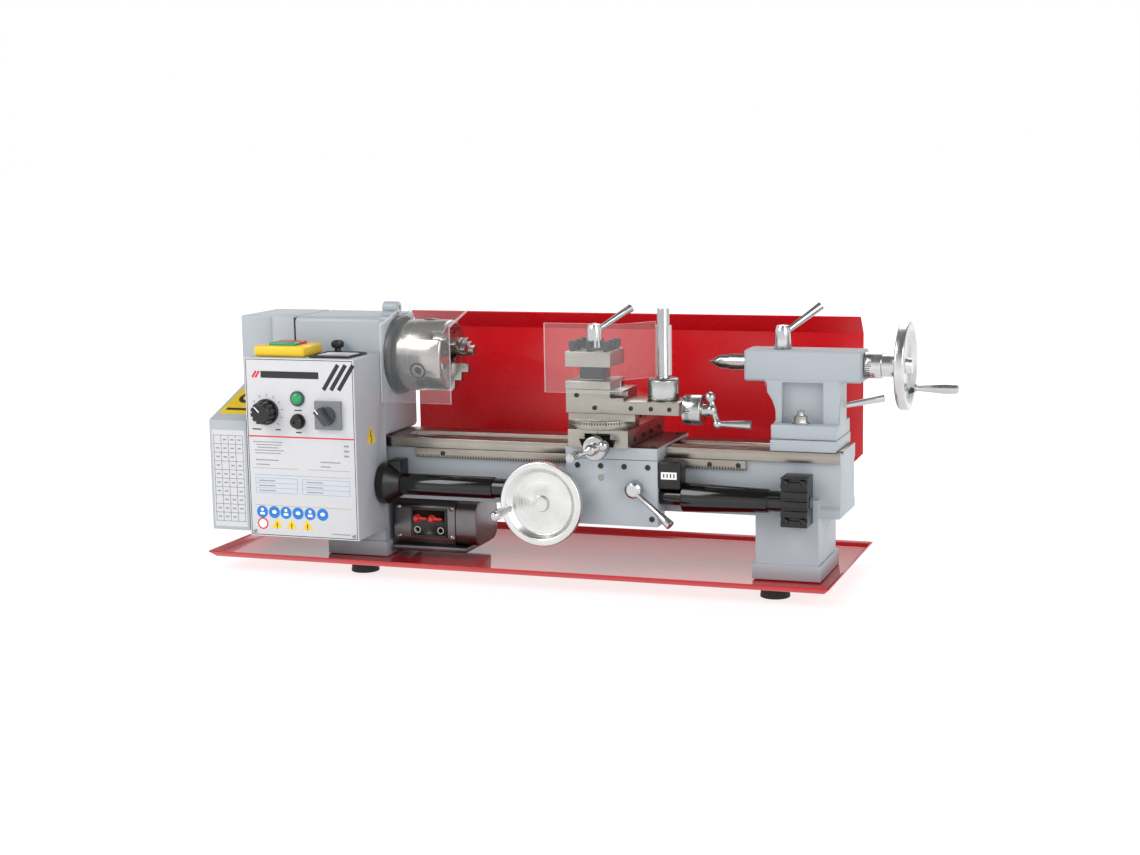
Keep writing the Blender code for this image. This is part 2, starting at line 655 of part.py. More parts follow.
def make_controls():
    """The two knobs on the panel, and the safety switch on the box."""
    face = BOX_FRONT - PANEL_THICK - 2 * GAP
    speed = Vector((-105 * MM, face, BED_TOP + 36 * MM))
    add_body("speed_knob", speed, "bed")
    knob = turned(
        "speed_knob", speed, "-Y",
        [(0, 0), (0, 14.5 * MM), (3 * MM, 14.5 * MM), (5 * MM, 12 * MM), (15 * MM, 11 * MM), (16 * MM, 10 * MM), (16 * MM, 0)],
        24,
    )
    dress(knob, "speed_knob", "black_plastic", True)
    select = Vector((SELECTOR_X, face + GAP, SELECTOR_Z))
    turn_at = select + Vector((0, -5 * MM - GAP, 0))
    add_body("selector_knob", turn_at, "bed")
    hub = turned("selector_knob", turn_at, "-Y", [(0, 0), (0, 10 * MM), (4 * MM, 10 * MM), (4 * MM, 0)], 24)
    grip = box(
        "selector_grip", turn_at + Vector((-4 * MM, -16 * MM, -10 * MM)), turn_at + Vector((4 * MM, -3 * MM, 10 * MM)),
        helper=True,
    )
    grip.rotation_euler = (0, math.radians(-40), 0)
    dress(join(hub, grip), "selector_knob", "black_plastic")
    base_low = Vector((-136 * MM + 12 * MM, -112 * MM, BOX_TOP + GAP))
    base_high = Vector((-63 * MM, -66 * MM, BOX_TOP + 12 * MM))
    switch = box("switch_base", base_low, base_high, round_edges=2.5 * MM)
    well = block("switch_well", base_low + Vector((14 * MM, 7 * MM, 5 * MM)), base_high + Vector((-14 * MM, -7 * MM, 1 * MM)))
    dress(cut(switch, well), "bed", "yellow_plastic")
    middle = (base_low.y + base_high.y) / 2
    floor = base_low.z + 5 * MM + 4 * MM
    spans = {"start_button": (base_low.y + 7.5 * MM, middle - 0.4 * MM), "stop_button": (middle + 0.4 * MM, base_high.y - 7.5 * MM)}
    for name, (front, back) in spans.items():
        low = Vector((base_low.x + 14.5 * MM, front, floor))
        high = Vector((base_high.x - 14.5 * MM, back, base_high.z + 3 * MM))
        add_body(name, ((low.x + high.x) / 2, (front + back) / 2, floor), "bed")
        button = box(name, low, high, round_edges=1.5 * MM)
        dress(button, name, "green_plastic" if name == "start_button" else "red_plastic")


def make_chuck_guard():
    """The clear chuck guard: a front plate, a sloped top and a hub with its pin in the headstock boss."""
    add_body("chuck_guard", GUARD_AT, "bed")
    half = GUARD_SHEET / 2
    front, bend, hinge = GUARD_FRONT, GUARD_BEND_Z, GUARD_AT
    rise = math.atan2(hinge.z - bend, hinge.y - front)
    across = Vector((-math.sin(rise), math.cos(rise))) * half
    outline = [
        (front - half, GUARD_LOW), (front + half, GUARD_LOW), (front + half, bend - half),
        (hinge.y - across.x * 0, hinge.z - across.y), (hinge.y, hinge.z + across.y), (front - half, bend + half),
    ]
    guard = plate("chuck_guard", outline, "X", GUARD_LEFT, GUARD_RIGHT)
    hub = rod("guard_hub", (GAP, hinge.y, hinge.z), "+X", 12 * MM, 6 * MM, 20, helper=True)
    pin = rod("guard_pin_rod", (-19 * MM, hinge.y, hinge.z), "+X", 22 * MM, 3 * MM, 16, helper=True)
    join(guard, hub, pin)
    dress(guard, "chuck_guard", "clear_plastic")


# ---------------------------------------------------------------- spindle, chuck and drive


def make_spindle():
    """The hollow spindle, with its belt pulley and first gear."""
    add_body("spindle", SPINDLE_AT, "bed")
    left = GEAR_X - 3 * MM
    pulley = BELT_X - BELT_WIDTH / 2 - 1.5 * MM - left
    wide, flange = BELT_WIDTH + 3 * MM, 1.2 * MM
    outer = SPINDLE_PULLEY + BELT_THICK + 0.8 * MM
    spindle = turned(
        "spindle", (left, 0, AXIS_Z), "+X",
        [
            (0, SPINDLE_BORE), (0, 12 * MM), (pulley, 12 * MM), (pulley, outer), (pulley + flange, outer),
            (pulley + flange, SPINDLE_PULLEY), (pulley + wide - flange, SPINDLE_PULLEY), (pulley + wide - flange, outer),
            (pulley + wide, outer), (pulley + wide, SPINDLE_RADIUS), (1 * MM - left, SPINDLE_RADIUS),
            (1 * MM - left, 20 * MM), (7.6 * MM - left, 20 * MM), (7.6 * MM - left, SPINDLE_BORE), (0, SPINDLE_BORE),
        ],
    )
    gear_on = gear("spindle_gear", (0.0, AXIS_Z), SPINDLE_TEETH, 0.0, GEAR_X, 11 * MM, True)
    dress(join(spindle, gear_on), "spindle", "ground_steel", True)


def make_chuck():
    """The three-jaw chuck: a body with slots, and three stepped jaws."""
    length = CHUCK_FACE - CHUCK_LEFT
    body = turned(
        "chuck_body", (CHUCK_LEFT, 0, AXIS_Z), "+X",
        [
            (0, CHUCK_BORE), (0, CHUCK_RADIUS - 2 * MM), (7 * MM, CHUCK_RADIUS - 2 * MM), (7 * MM, CHUCK_RADIUS),
            (length - 2 * MM, CHUCK_RADIUS), (length, CHUCK_RADIUS - 2 * MM), (length, CHUCK_BORE), (0, CHUCK_BORE),
        ],
        48,
    )
    slot_half = JAW_WIDTH / 2 + GAP
    for number in range(3):
        angle = jaw_angle(number)
        slot = radial_block(
            f"jaw_slot_{number}", angle, (CHUCK_FACE - JAW_DEPTH - GAP, CHUCK_FACE + 2 * MM), (0, CHUCK_RADIUS + 2 * MM), slot_half
        )
        cut(body, slot)
        socket = radial_rod(f"key_socket_{number}", angle + math.pi / 3, CHUCK_LEFT + 30 * MM, 30 * MM, 45 * MM, 4 * MM)
        cut(body, socket)
    dress(body, "spindle", "ground_steel", True)
    face, inner, outer = CHUCK_FACE, JAW_INNER, JAW_OUTER
    third = (outer - inner) / 3
    for number in range(3):
        angle = jaw_angle(number)
        name = f"chuck_jaw_{number + 1}"
        way = Vector((0, math.cos(angle), math.sin(angle)))
        add_body(name, SPINDLE_AT + Vector((face, 0, 0)) + way * inner, "spindle")
        jaw = radial_jaw(name, angle, face - JAW_DEPTH, [
            (inner, face + JAW_HEIGHT), (inner + third, face + JAW_HEIGHT), (inner + third, face + JAW_HEIGHT * 0.62),
            (inner + 2 * third, face + JAW_HEIGHT * 0.62), (inner + 2 * third, face + JAW_HEIGHT * 0.25),
            (outer, face + JAW_HEIGHT * 0.25),
        ])
        dress(jaw, name, "ground_steel")


def jaw_angle(number):
    """Where each jaw points round the axis, from +Y towards +Z."""
    return math.radians(140 + 120 * number)


def radial_turn(angle):
    """Turns local Z to the radial way, and keeps local X along the spindle."""
    return Matrix.Rotation(angle - math.pi / 2, 3, "X").to_euler()


def radial_block(name, angle, along, out, half):
    """A block along a radius of the spindle."""
    low, high = Vector((along[0], -half, out[0])), Vector((along[1], half, out[1]))
    made = box(name, low, high, helper=True)
    middle = (low + high) / 2
    made.rotation_euler = radial_turn(angle)
    made.location = SPINDLE_AT + Matrix.Rotation(angle - math.pi / 2, 3, "X") @ middle
    return made


def radial_rod(name, angle, x, start, end, radius):
    """A round helper along a radius of the spindle."""
    way = Vector((0, math.cos(angle), math.sin(angle)))
    at = SPINDLE_AT + Vector((x, 0, 0))
    return rod_between(name, at + way * start, at + way * end, radius, helper=True)


def radial_jaw(name, angle, back, steps):
    """One jaw: its stepped side view, extruded across its width, turned to its radius."""
    inner, outer = steps[0][0], steps[-1][0]
    outline = [(back, inner)] + [(x, out) for out, x in steps] + [(back, outer)]
    jaw = plate(name, outline, "Y", -JAW_WIDTH / 2, JAW_WIDTH / 2)
    turn = Matrix.Rotation(angle - math.pi / 2, 3, "X")
    jaw.rotation_euler = (turn @ FLAT["Y"].to_matrix()).to_euler()
    jaw.location = SPINDLE_AT
    return jaw


def gear_outline(teeth, module, phase):
    """Points of a gear with plain V teeth, and the middle of one tooth at an angle."""
    radius = teeth * module / 2
    points = []
    for tooth in range(teeth):
        tip = phase + 2 * math.pi * tooth / teeth
        gap = tip + math.pi / teeth
        points.append(((radius + 0.75 * module) * math.cos(tip), (radius + 0.75 * module) * math.sin(tip)))
        points.append(((radius - 1.05 * module) * math.cos(gap), (radius - 1.05 * module) * math.sin(gap)))
    return points


def next_phase(phase, teeth, way, other_teeth):
    """The angle of a tooth on a gear that meshes with another in a direction."""
    from_tooth = (phase - way) * teeth / other_teeth
    return way + math.pi - from_tooth + math.pi / other_teeth


def gear(name, place, teeth, phase, left, hole, helper=False, width=GEAR_WIDTH):
    """A gear across the spindle direction, bored on its axis."""
    y, z = place
    outline = [(y + u, z + v) for u, v in gear_outline(teeth, GEAR_MODULE, phase)]
    outlines = [outline]
    if hole:
        outlines.append(arc((y, z), hole, 0, 337.5, 15))
    made = plate(name, outlines, "X", left, left + width, helper)
    return made


def circle_meet(first, first_distance, second, second_distance, side):
    """The point at a distance from each of two points. Side picks which of the two."""
    first, second = Vector(first), Vector(second)
    between = (second - first).length
    along = (first_distance**2 - second_distance**2 + between**2) / (2 * between)
    off = math.sqrt(first_distance**2 - along**2)
    way = (second - first) / between
    return first + way * along + Vector((-way.y, way.x)) * off * side


def way_from(first, second):
    """The direction from one gear to another."""
    return math.atan2(second[1] - first[1], second[0] - first[0])


def distance_of(teeth, other):
    """The distance between two gears that mesh."""
    return (teeth + other) * GEAR_MODULE / 2


def make_gear_train():
    """The train from the spindle to the leadscrew: an idler and a stud pair between them."""
    spindle, screw = (0.0, AXIS_Z), (SCREW_Y, SCREW_Z)
    stud = circle_meet(
        spindle, distance_of(SPINDLE_TEETH, IDLER_TEETH) + distance_of(IDLER_TEETH, STUD_TEETH) - 0.5 * MM,
        screw, distance_of(STUD_SMALL_TEETH, SCREW_TEETH), 1,
    )
    idler = circle_meet(
        spindle, distance_of(SPINDLE_TEETH, IDLER_TEETH), stud, distance_of(IDLER_TEETH, STUD_TEETH), 1
    )
    first = GEAR_X
    second = GEAR_X + STUD_STEP
    phase = 0.0
    phase = next_phase(phase, SPINDLE_TEETH, way_from(spindle, idler), IDLER_TEETH)
    pin = 5 * MM
    add_body("idler_gear", (first, *idler), "bed")
    dress(gear("idler_gear", idler, IDLER_TEETH, phase, first, pin), "idler_gear", "ground_steel")
    phase = next_phase(phase, IDLER_TEETH, way_from(idler, stud), STUD_TEETH)
    add_body("stud_gear", (first, *stud), "bed")
    pair = gear("stud_gear", stud, STUD_TEETH, phase, first, 0)
    small = gear("stud_small", stud, STUD_SMALL_TEETH, phase, first + GEAR_WIDTH / 2, 0, True, GEAR_WIDTH / 2 + STUD_STEP)
    hole = bore("stud_hole", (first - 5 * MM, *stud), "+X", 40 * MM, pin)
    dress(cut(join(pair, small), hole), "stud_gear", "ground_steel")
    phase = next_phase(phase, STUD_SMALL_TEETH, way_from(stud, screw), SCREW_TEETH)
    return second + GAP, phase, idler, stud, pin


def make_gear_plate(idler, stud, pin):
    """The quadrant plate with the idler and stud pins, which joins the headstock side."""
    x = GEAR_X + GEAR_WIDTH + STUD_STEP + 3 * MM
    ring = 12 * MM
    outline = []
    hull = [(idler[0], idler[1]), (stud[0], stud[1])]
    way = way_from(hull[0], hull[1])
    outline += arc(hull[1], ring, math.degrees(way) - 90, math.degrees(way) + 90, 8)
    outline += arc(hull[0], ring, math.degrees(way) + 90, math.degrees(way) + 270, 8)
    arm = plate("gear_quadrant", outline, "X", x, x + 5 * MM, helper=True)
    for number, place in enumerate(hull):
        length = x + 1 * MM - GEAR_X
        join(arm, rod(f"quadrant_pin_{number}", (GEAR_X, *place), "+X", length, pin - CLEAR - GAP / 2, helper=True))
    post = rod("quadrant_post", (x + 1 * MM, *_toward(hull)), "+X", HEAD_LEFT + 3 * MM - x, 6 * MM, helper=True)
    return join(arm, post)


def _toward(hull):
    """A point on the quadrant that faces solid casting."""
    (y0, z0), (y1, z1) = hull
    return (y0 * 0.9 + y1 * 0.1, z0 * 0.9 + z1 * 0.1)


def make_leadscrew(gear_left, phase):
    """The leadscrew between its two brackets, with the gear on its left end."""
    at = Vector((0, SCREW_Y, SCREW_Z))
    add_body("leadscrew", at, "bed")
    left, right = gear_left - 3 * MM, RIGHT_BRACKET + RIGHT_BRACKET_WIDTH + 1 * MM
    journal = SCREW_RADIUS - 2 * MM
    shaft = turned(
        "leadscrew", (left, SCREW_Y, SCREW_Z), "+X",
        [
            (0, 0), (0, journal), (2 * MM - left, journal), (2 * MM - left, SCREW_RADIUS),
            (RIGHT_BRACKET - 2 * MM - left, SCREW_RADIUS), (RIGHT_BRACKET - 2 * MM - left, journal),
            (right - left, journal), (right - left, 0),
        ],
        20,
    )
    join(shaft, gear("leadscrew_gear", (SCREW_Y, SCREW_Z), SCREW_TEETH, phase, gear_left, 0, True))
    dress(shaft, "leadscrew", "ground_steel", True)


def make_leadscrew_brackets():
    """The two bearing brackets on the front of the bed, and the covers fixed to them."""
    back = -BED_WIDTH / 2 + WEB_RECESS - GAP
    journal = SCREW_RADIUS - 2 * MM + CLEAR
    low, high = SCREW_Z - 12 * MM, SCREW_Z + 26 * MM
    left = turned(
        "leadscrew_bracket_left", (2.5 * MM, SCREW_Y, SCREW_Z), "+X",
        [(0, 0), (0, 23 * MM), (9 * MM, 23 * MM), (BRACKET_WIDTH + 6 * MM, 12.5 * MM), (BRACKET_WIDTH + 6 * MM, 0)], 28,
    )
    tab = block("left_tab", (10 * MM, SCREW_Y - 4 * MM, low), (10 * MM + 15 * MM, back - 4.3 * MM, high))
    trim = block("left_trim", (0, back - 4.3 * MM, low - 30 * MM), (40 * MM, 0, high + 20 * MM))
    cut(join(left, tab), trim, bore("left_journal", (-5 * MM, SCREW_Y, SCREW_Z), "+X", 60 * MM, SCREW_RADIUS + 1 * MM))
    dress(left, "bed", "black_plastic")
    right = box(
        "leadscrew_bracket_right", (RIGHT_BRACKET, SCREW_Y - 16 * MM, SCREW_Z - 24 * MM),
        (RIGHT_BRACKET + RIGHT_BRACKET_WIDTH, -LEG_DEPTH / 2 - GAP, SCREW_Z + 28 * MM),
    )
    for number in range(5):
        z = SCREW_Z - 17 * MM + 10 * MM * number
        groove = block(
            f"rib_{number}", (RIGHT_BRACKET - 1 * MM, SCREW_Y - 20 * MM, z), (RIGHT_BRACKET + 60 * MM, SCREW_Y - 13.5 * MM, z + 3 * MM)
        )
        cut(right, groove)
    cut(right, bore("right_journal", (RIGHT_BRACKET - 5 * MM, SCREW_Y, SCREW_Z), "+X", 60 * MM, journal, 20))
    dress(right, "bed", "black_plastic")
    tube("left_cover_tube", BRACKET_WIDTH + 9 * MM, 135 * MM, 12 * MM, "bed")


def tube(name, left, right, radius, body):
    """A thin plastic sleeve round the leadscrew."""
    inner = radius - COVER_WALL
    profile = [(0, inner), (0, radius), (right - left, radius), (right - left, inner), (0, inner)]
    dress(turned(name, (left, SCREW_Y, SCREW_Z), "+X", profile, 24), body, "black_plastic", True)


def make_motor():
    """The motor under the bed, its shaft through the left leg, its pulley and the belt."""
    top = BED_BOTTOM - 1 * MM
    low = MOTOR_BOTTOM + 4 * MM
    body = plate(
        "motor", rounded_rectangle(MOTOR_Y - MOTOR_HALF_WIDTH, MOTOR_Y + MOTOR_HALF_WIDTH, low, top, 12 * MM), "X",
        MOTOR_LEFT + 3 * MM, MOTOR_RIGHT - 24 * MM,
    )
    bell = plate(
        "motor_bell",
        rounded_rectangle(
            MOTOR_Y - MOTOR_HALF_WIDTH + 2 * MM, MOTOR_Y + MOTOR_HALF_WIDTH - 2 * MM, low + 2 * MM, top - 2 * MM, 14 * MM
        ),
        "X", MOTOR_LEFT + 4 * MM, MOTOR_RIGHT, helper=True,
    )
    foot = block(
        "motor_foot", (MOTOR_LEFT + 3 * MM, MOTOR_Y - MOTOR_HALF_WIDTH - 3 * MM, MOTOR_BOTTOM),
        (MOTOR_RIGHT - 10 * MM, MOTOR_Y + MOTOR_HALF_WIDTH + 3 * MM, MOTOR_BOTTOM + 6 * MM),
    )
    leg_side = LEFT_LEG + LEG_WIDTH / 2 + GAP
    flange = rod("motor_flange", (leg_side, MOTOR_Y, MOTOR_Z), "+X", 14 * MM, 20 * MM, 28, helper=True)
    seat = bore("motor_seat", (leg_side - 1 * MM, MOTOR_Y, MOTOR_Z), "+X", 66 * MM, 5 * MM + CLEAR, 20)
    dress(cut(join(body, bell, foot, flange), seat), "bed", "dark_casting")
    at = Vector((BELT_X, MOTOR_Y, MOTOR_Z))
    add_body("motor_shaft", at, "bed")
    left = BELT_X - BELT_WIDTH / 2 - 1.5 * MM
    wide = BELT_WIDTH + 3 * MM
    flange, outer = 1.2 * MM, MOTOR_PULLEY + BELT_THICK + 0.6 * MM
    end = MOTOR_LEFT + 55 * MM - left
    shaft = turned(
        "motor_pulley", (left, MOTOR_Y, MOTOR_Z), "+X",
        [
            (0, 0), (0, outer), (flange, outer), (flange, MOTOR_PULLEY), (wide - flange, MOTOR_PULLEY),
            (wide - flange, outer), (wide, outer), (wide, 5 * MM), (end, 5 * MM), (end, 0),
        ],
        20,
    )
    dress(shaft, "motor_shaft", "ground_steel", True)


def belt_outline(grow):
    """The loop round both pulleys, grown outwards."""
    small, large = (MOTOR_Y, MOTOR_Z), (0.0, AXIS_Z)
    small_radius, large_radius = MOTOR_PULLEY + grow, SPINDLE_PULLEY + grow
    way = way_from(small, large)
    apart = (Vector(large) - Vector(small)).length
    lean = math.acos((small_radius - large_radius) / apart)
    start, end = math.degrees(way - lean), math.degrees(way + lean)
    return arc(large, large_radius, start, end, 14) + arc(small, small_radius, end, start + 360, 8)


def make_belt():
    """The toothed belt from the motor to the spindle."""
    belt = plate(
        "drive_belt", [belt_outline(BELT_THICK), belt_outline(GAP)], "X", BELT_X - BELT_WIDTH / 2, BELT_X + BELT_WIDTH / 2
    )
    dress(belt, "bed", "rubber")


# ---------------------------------------------------------------- carriage


def make_saddle():
    """The saddle: it lies on the ways, wraps them front and back, and carries the cross-slide ridge."""
    low, high = BED_TOP + GAP, BED_TOP + GAP + SADDLE_THICK
    saddle = box("saddle", (SADDLE_LEFT, SADDLE_FRONT, low), (SADDLE_RIGHT, SADDLE_BACK, high))
    half = BED_WIDTH / 2 + GAP
    front_lip = block("saddle_lip", (SADDLE_LEFT, SADDLE_FRONT, BED_TOP - SADDLE_LIP), (SADDLE_RIGHT, -half, low + 1 * MM))
    back_lip = block("saddle_back", (SADDLE_LEFT, half, BED_TOP - SADDLE_LIP), (SADDLE_RIGHT, SADDLE_BACK, low + 1 * MM))
    ridge = plate("ridge", ridge_outline(0), "Y", SADDLE_FRONT + 4 * MM, SADDLE_BACK, helper=True)
    screw_z = BED_TOP + CROSS_SCREW_RISE
    groove = block(
        "screw_groove", (CROSS_SCREW_X - 7 * MM, SADDLE_FRONT + 12 * MM, low - 2 * MM),
        (CROSS_SCREW_X + 7 * MM, SADDLE_BACK - 8 * MM, high + RIDGE_HEIGHT + 1 * MM),
    )
    collar = rod("cross_collar", (CROSS_SCREW_X, SADDLE_FRONT + 1 * MM, screw_z), "-Y", 9 * MM, 11 * MM, 24, helper=True)
    hole = bore("cross_hole", (CROSS_SCREW_X, SADDLE_FRONT - 12 * MM, screw_z), "+Y", 30 * MM, 3.6 * MM + CLEAR)
    join(saddle, front_lip, back_lip, ridge, collar)
    cut(saddle, groove, hole)
    dress(saddle, "carriage", "ground_steel")


def ridge_outline(grow):
    """The dovetail that guides the cross slide, grown for the slot that fits on it."""
    low, high = BED_TOP + SADDLE_THICK, BED_TOP + GAP + SADDLE_THICK + RIDGE_HEIGHT + grow
    narrow, wide = RIDGE_HALF - 4 * MM + grow, RIDGE_HALF + grow
    middle = CROSS_SCREW_X
    return [(middle - narrow, low), (middle + narrow, low), (middle + wide, high), (middle - wide, high)]


def make_apron():
    """The apron, hollow at the back, with a way through for the leadscrew."""
    top = BED_TOP - SADDLE_LIP - GAP
    back = -BED_WIDTH / 2 - 6 * MM
    apron = box("apron", (SADDLE_LEFT, SADDLE_FRONT, APRON_BOTTOM), (SADDLE_RIGHT, back, top))
    hollow = block(
        "apron_hollow", (SADDLE_LEFT + APRON_WALL, SADDLE_FRONT + APRON_WALL, APRON_BOTTOM + APRON_WALL),
        (SADDLE_RIGHT - APRON_WALL, back + 5 * MM, top - APRON_WALL),
    )
    way = bore("apron_way", (SADDLE_LEFT - 5 * MM, SCREW_Y, SCREW_Z), "+X", 120 * MM, SCREW_RADIUS + 1 * MM)
    lobe = plate(
        "apron_lobe",
        [(SADDLE_LEFT + 10 * MM, WHEEL_Z + LOBE_RADIUS)]
        + arc((WHEEL_X, WHEEL_Z), LOBE_RADIUS, 90, 270, 12)
        + [(SADDLE_LEFT + 10 * MM, WHEEL_Z - LOBE_RADIUS)],
        "Y", SADDLE_FRONT, SADDLE_FRONT + LOBE_THICK, helper=True,
    )
    boss = turned(
        "wheel_boss", (WHEEL_X, SADDLE_FRONT + 1 * MM, WHEEL_Z), "-Y",
        [(0, 0), (0, 16 * MM), (9 * MM, 14 * MM), (9 * MM, 0)], 24, helper=True,
    )
    shaft = bore("wheel_hole", (WHEEL_X, SADDLE_FRONT + 30 * MM, WHEEL_Z), "-Y", 60 * MM, 6 * MM + CLEAR, 24)
    lever = bore("lever_hole", (lever_at().x, SADDLE_FRONT + 15 * MM, lever_at().z), "-Y", 30 * MM, 5 * MM + CLEAR)
    pinion = bore("pinion_hole", (pinion_at().x, SADDLE_FRONT - 5 * MM, pinion_at().z), "+Y", 20 * MM, 3 * MM + CLEAR)
    join(cut(apron, hollow, way), lobe, boss)
    cut(apron, shaft, lever, pinion)
    dress(apron, "carriage", "grey_paint")


def lever_at():
    """The half-nut lever's axis."""
    return Vector((300 * MM, SADDLE_FRONT - GAP, BED_TOP - 40 * MM))


def pinion_at():
    """The rack pinion's axis: its tips stay just clear of the rack."""
    rack_tip = BED_TOP - STRIP - RACK_HEIGHT + GAP
    return Vector((262 * MM, SADDLE_FRONT + GAP, rack_tip - 8 * RACK_MODULE - GAP))


def make_apron_wheel():
    """The dished carriage handwheel on its shaft, and the handle that spins on it."""
    add_body("apron_handwheel", WHEEL_AT, "carriage")
    rim = WHEEL_RADIUS
    wheel = turned(
        "apron_handwheel", WHEEL_AT, "-Y",
        [
            (-20.8 * MM, 0), (-20.8 * MM, 6 * MM), (-6 * MM, 6 * MM), (-6 * MM, 11 * MM), (0, 11 * MM),
            (1 * MM, rim - 12 * MM), (0, rim - 9 * MM), (0, rim - 1.5 * MM), (1.5 * MM, rim), (WHEEL_THICK - 1.5 * MM, rim),
            (WHEEL_THICK, rim - 1.5 * MM), (WHEEL_THICK, rim - 7 * MM), (WHEEL_THICK - 6 * MM, rim - 12 * MM),
            (WHEEL_THICK - 5 * MM, 9 * MM), (WHEEL_THICK, 8 * MM), (WHEEL_THICK, 0),
        ],
        48,
    )
    dress(wheel, "apron_handwheel", "aluminium", True)
    angle = math.radians(190)
    spot = WHEEL_AT + Vector((HANDLE_RING * math.cos(angle), -WHEEL_THICK - GAP, HANDLE_RING * math.sin(angle)))
    add_body("apron_handle", spot, "apron_handwheel")
    handle("apron_handle", spot, "-Y", 45 * MM)


def handle(name, at, towards, length):
    """A turned machine handle: thin at the wheel, fuller towards its end."""
    grip = turned(
        name, at, towards,
        [
            (0, 0), (0, 4 * MM), (4 * MM, 3.4 * MM), (length * 0.35, 4.2 * MM), (length * 0.7, 5.6 * MM),
            (length * 0.95, 5 * MM), (length, 3 * MM), (length, 0),
        ],
        16,
    )
    dress(grip, name, "aluminium", True)


def make_rack_pinion():
    """The pinion that climbs the rack, on a pin in the apron."""
    at = pinion_at()
    add_body("rack_pinion", at, "carriage")
    module = RACK_MODULE
    tip = 7 * module + 0.75 * module
    outline = []
    for tooth in range(14):
        angle = 2 * math.pi * tooth / 14
        outline.append((at.x + tip * math.cos(angle), at.z + tip * math.sin(angle)))
        angle += math.pi / 14
        outline.append((at.x + 6 * module * math.cos(angle), at.z + 6 * module * math.sin(angle)))
    back = -BED_WIDTH / 2
    pinion = plate("rack_pinion", outline, "Y", back - 4 * MM, back - GAP)
    pin = rod("pinion_pin", (at.x, SADDLE_FRONT + 1 * MM, at.z), "+Y", back - 2 * MM - SADDLE_FRONT - 1 * MM, 3 * MM, helper=True)
    dress(join(pinion, pin), "rack_pinion", "ground_steel")


def make_half_nut():
    """The two half nuts, closed round the leadscrew, and the lever that opens them."""
    at = lever_at()
    left, right = 246 * MM, 276 * MM
    for name, low, high in (
        ("half_nut_upper", SCREW_Z + GAP, SCREW_Z + 11.5 * MM), ("half_nut_lower", SCREW_Z - 11.5 * MM, SCREW_Z - GAP)
    ):
        add_body(name, (left, SCREW_Y, SCREW_Z), "carriage")
        nut = box(name, (left, SCREW_Y - 9 * MM, low), (right, SCREW_Y + 9 * MM, high))
        thread = bore(name + "_thread", (left - 1 * MM, SCREW_Y, SCREW_Z), "+X", 40 * MM, SCREW_RADIUS + CLEAR, 20)
        dress(cut(nut, thread), name, "aluminium")
    add_body("half_nut_lever", at, "carriage")
    lever = turned(
        "half_nut_lever", at, "-Y",
        [(-6 * MM, 0), (-6 * MM, 5 * MM), (0, 5 * MM), (0, 9 * MM), (10 * MM, 9 * MM), (12 * MM, 6 * MM), (12 * MM, 0)], 20,
    )
    start = at + Vector((0, -7 * MM, 0))
    end = at + Vector((32 * MM, -17 * MM, -24 * MM))
    grip = rod_between("lever_grip", start, end, 3 * MM, helper=True)
    knob = rod_between("lever_knob", end - Vector((0, 0, 0)), end + (end - start).normalized() * 16 * MM, 4 * MM, 5 * MM, helper=True)
    dress(join(lever, grip, knob), "half_nut_lever", "chrome", True)


def make_thread_dial():
    """The thread dial housing on the right of the apron."""
    left = SADDLE_RIGHT + GAP
    dial = box("thread_dial", (left, -72 * MM, SCREW_Z + 9.3 * MM), (left + 24 * MM, -49 * MM, BED_TOP - 10 * MM), round_edges=2 * MM)
    dress(dial, "carriage", "black_plastic")


def make_moving_covers():
    """The tapered cover that travels with the apron, to its right."""
    left = SADDLE_RIGHT + GAP
    right = 440 * MM
    wide, narrow = 15.5 * MM, 12.5 * MM
    wall = COVER_WALL
    cover = turned(
        "right_cover_slide", (left + 25 * MM, SCREW_Y, SCREW_Z), "+X",
        [
            (0, wide - wall), (0, wide), (right - left - 25 * MM, narrow), (right - left - 25 * MM, narrow - wall),
            (0, wide - wall),
        ],
        24,
    )
    collar = turned(
        "right_cover_collar", (left, SCREW_Y, SCREW_Z), "+X",
        [(0, 9 * MM), (0, 9.2 * MM), (24 * MM, 9.2 * MM), (24.5 * MM, wide), (27 * MM, wide - 0.3 * MM), (27 * MM, 9 * MM), (0, 9 * MM)],
        24, helper=True,
    )
    dress(join(cover, collar), "carriage", "black_plastic", True)


def make_cross_slide():
    """The cross slide on the saddle ridge, with its nut round the screw."""
    add_body("cross_slide", (CROSS_SCREW_X, 0, CROSS_LOW), "carriage")
    slide = box("cross_slide", (CROSS_LEFT, CROSS_FRONT, CROSS_LOW), (CROSS_RIGHT, CROSS_BACK, CROSS_HIGH))
    slot = plate("slide_slot", ridge_outline(GAP), "Y", CROSS_FRONT - 1 * MM, CROSS_BACK + 1 * MM, helper=True)
    collar_room = block(
        "collar_room", (CROSS_SCREW_X - 14 * MM, CROSS_FRONT - 1 * MM, CROSS_LOW - 1 * MM),
        (CROSS_SCREW_X + 14 * MM, SADDLE_FRONT + 11.5 * MM, BED_TOP + CROSS_SCREW_RISE + 14 * MM),
    )
    screw_z = BED_TOP + CROSS_SCREW_RISE
    nut = block(
        "cross_nut", (CROSS_SCREW_X - 6 * MM, -14 * MM, screw_z - 1.5 * MM), (CROSS_SCREW_X + 6 * MM, 2 * MM, CROSS_HIGH - 4 * MM)
    )
    hole = bore("cross_nut_hole", (CROSS_SCREW_X, CROSS_FRONT - 2 * MM, screw_z), "+Y", 140 * MM, 3 * MM + CLEAR, 28)
    cut(join(cut(slide, slot, collar_room), nut), hole)
    dress(slide, "cross_slide", "ground_steel")


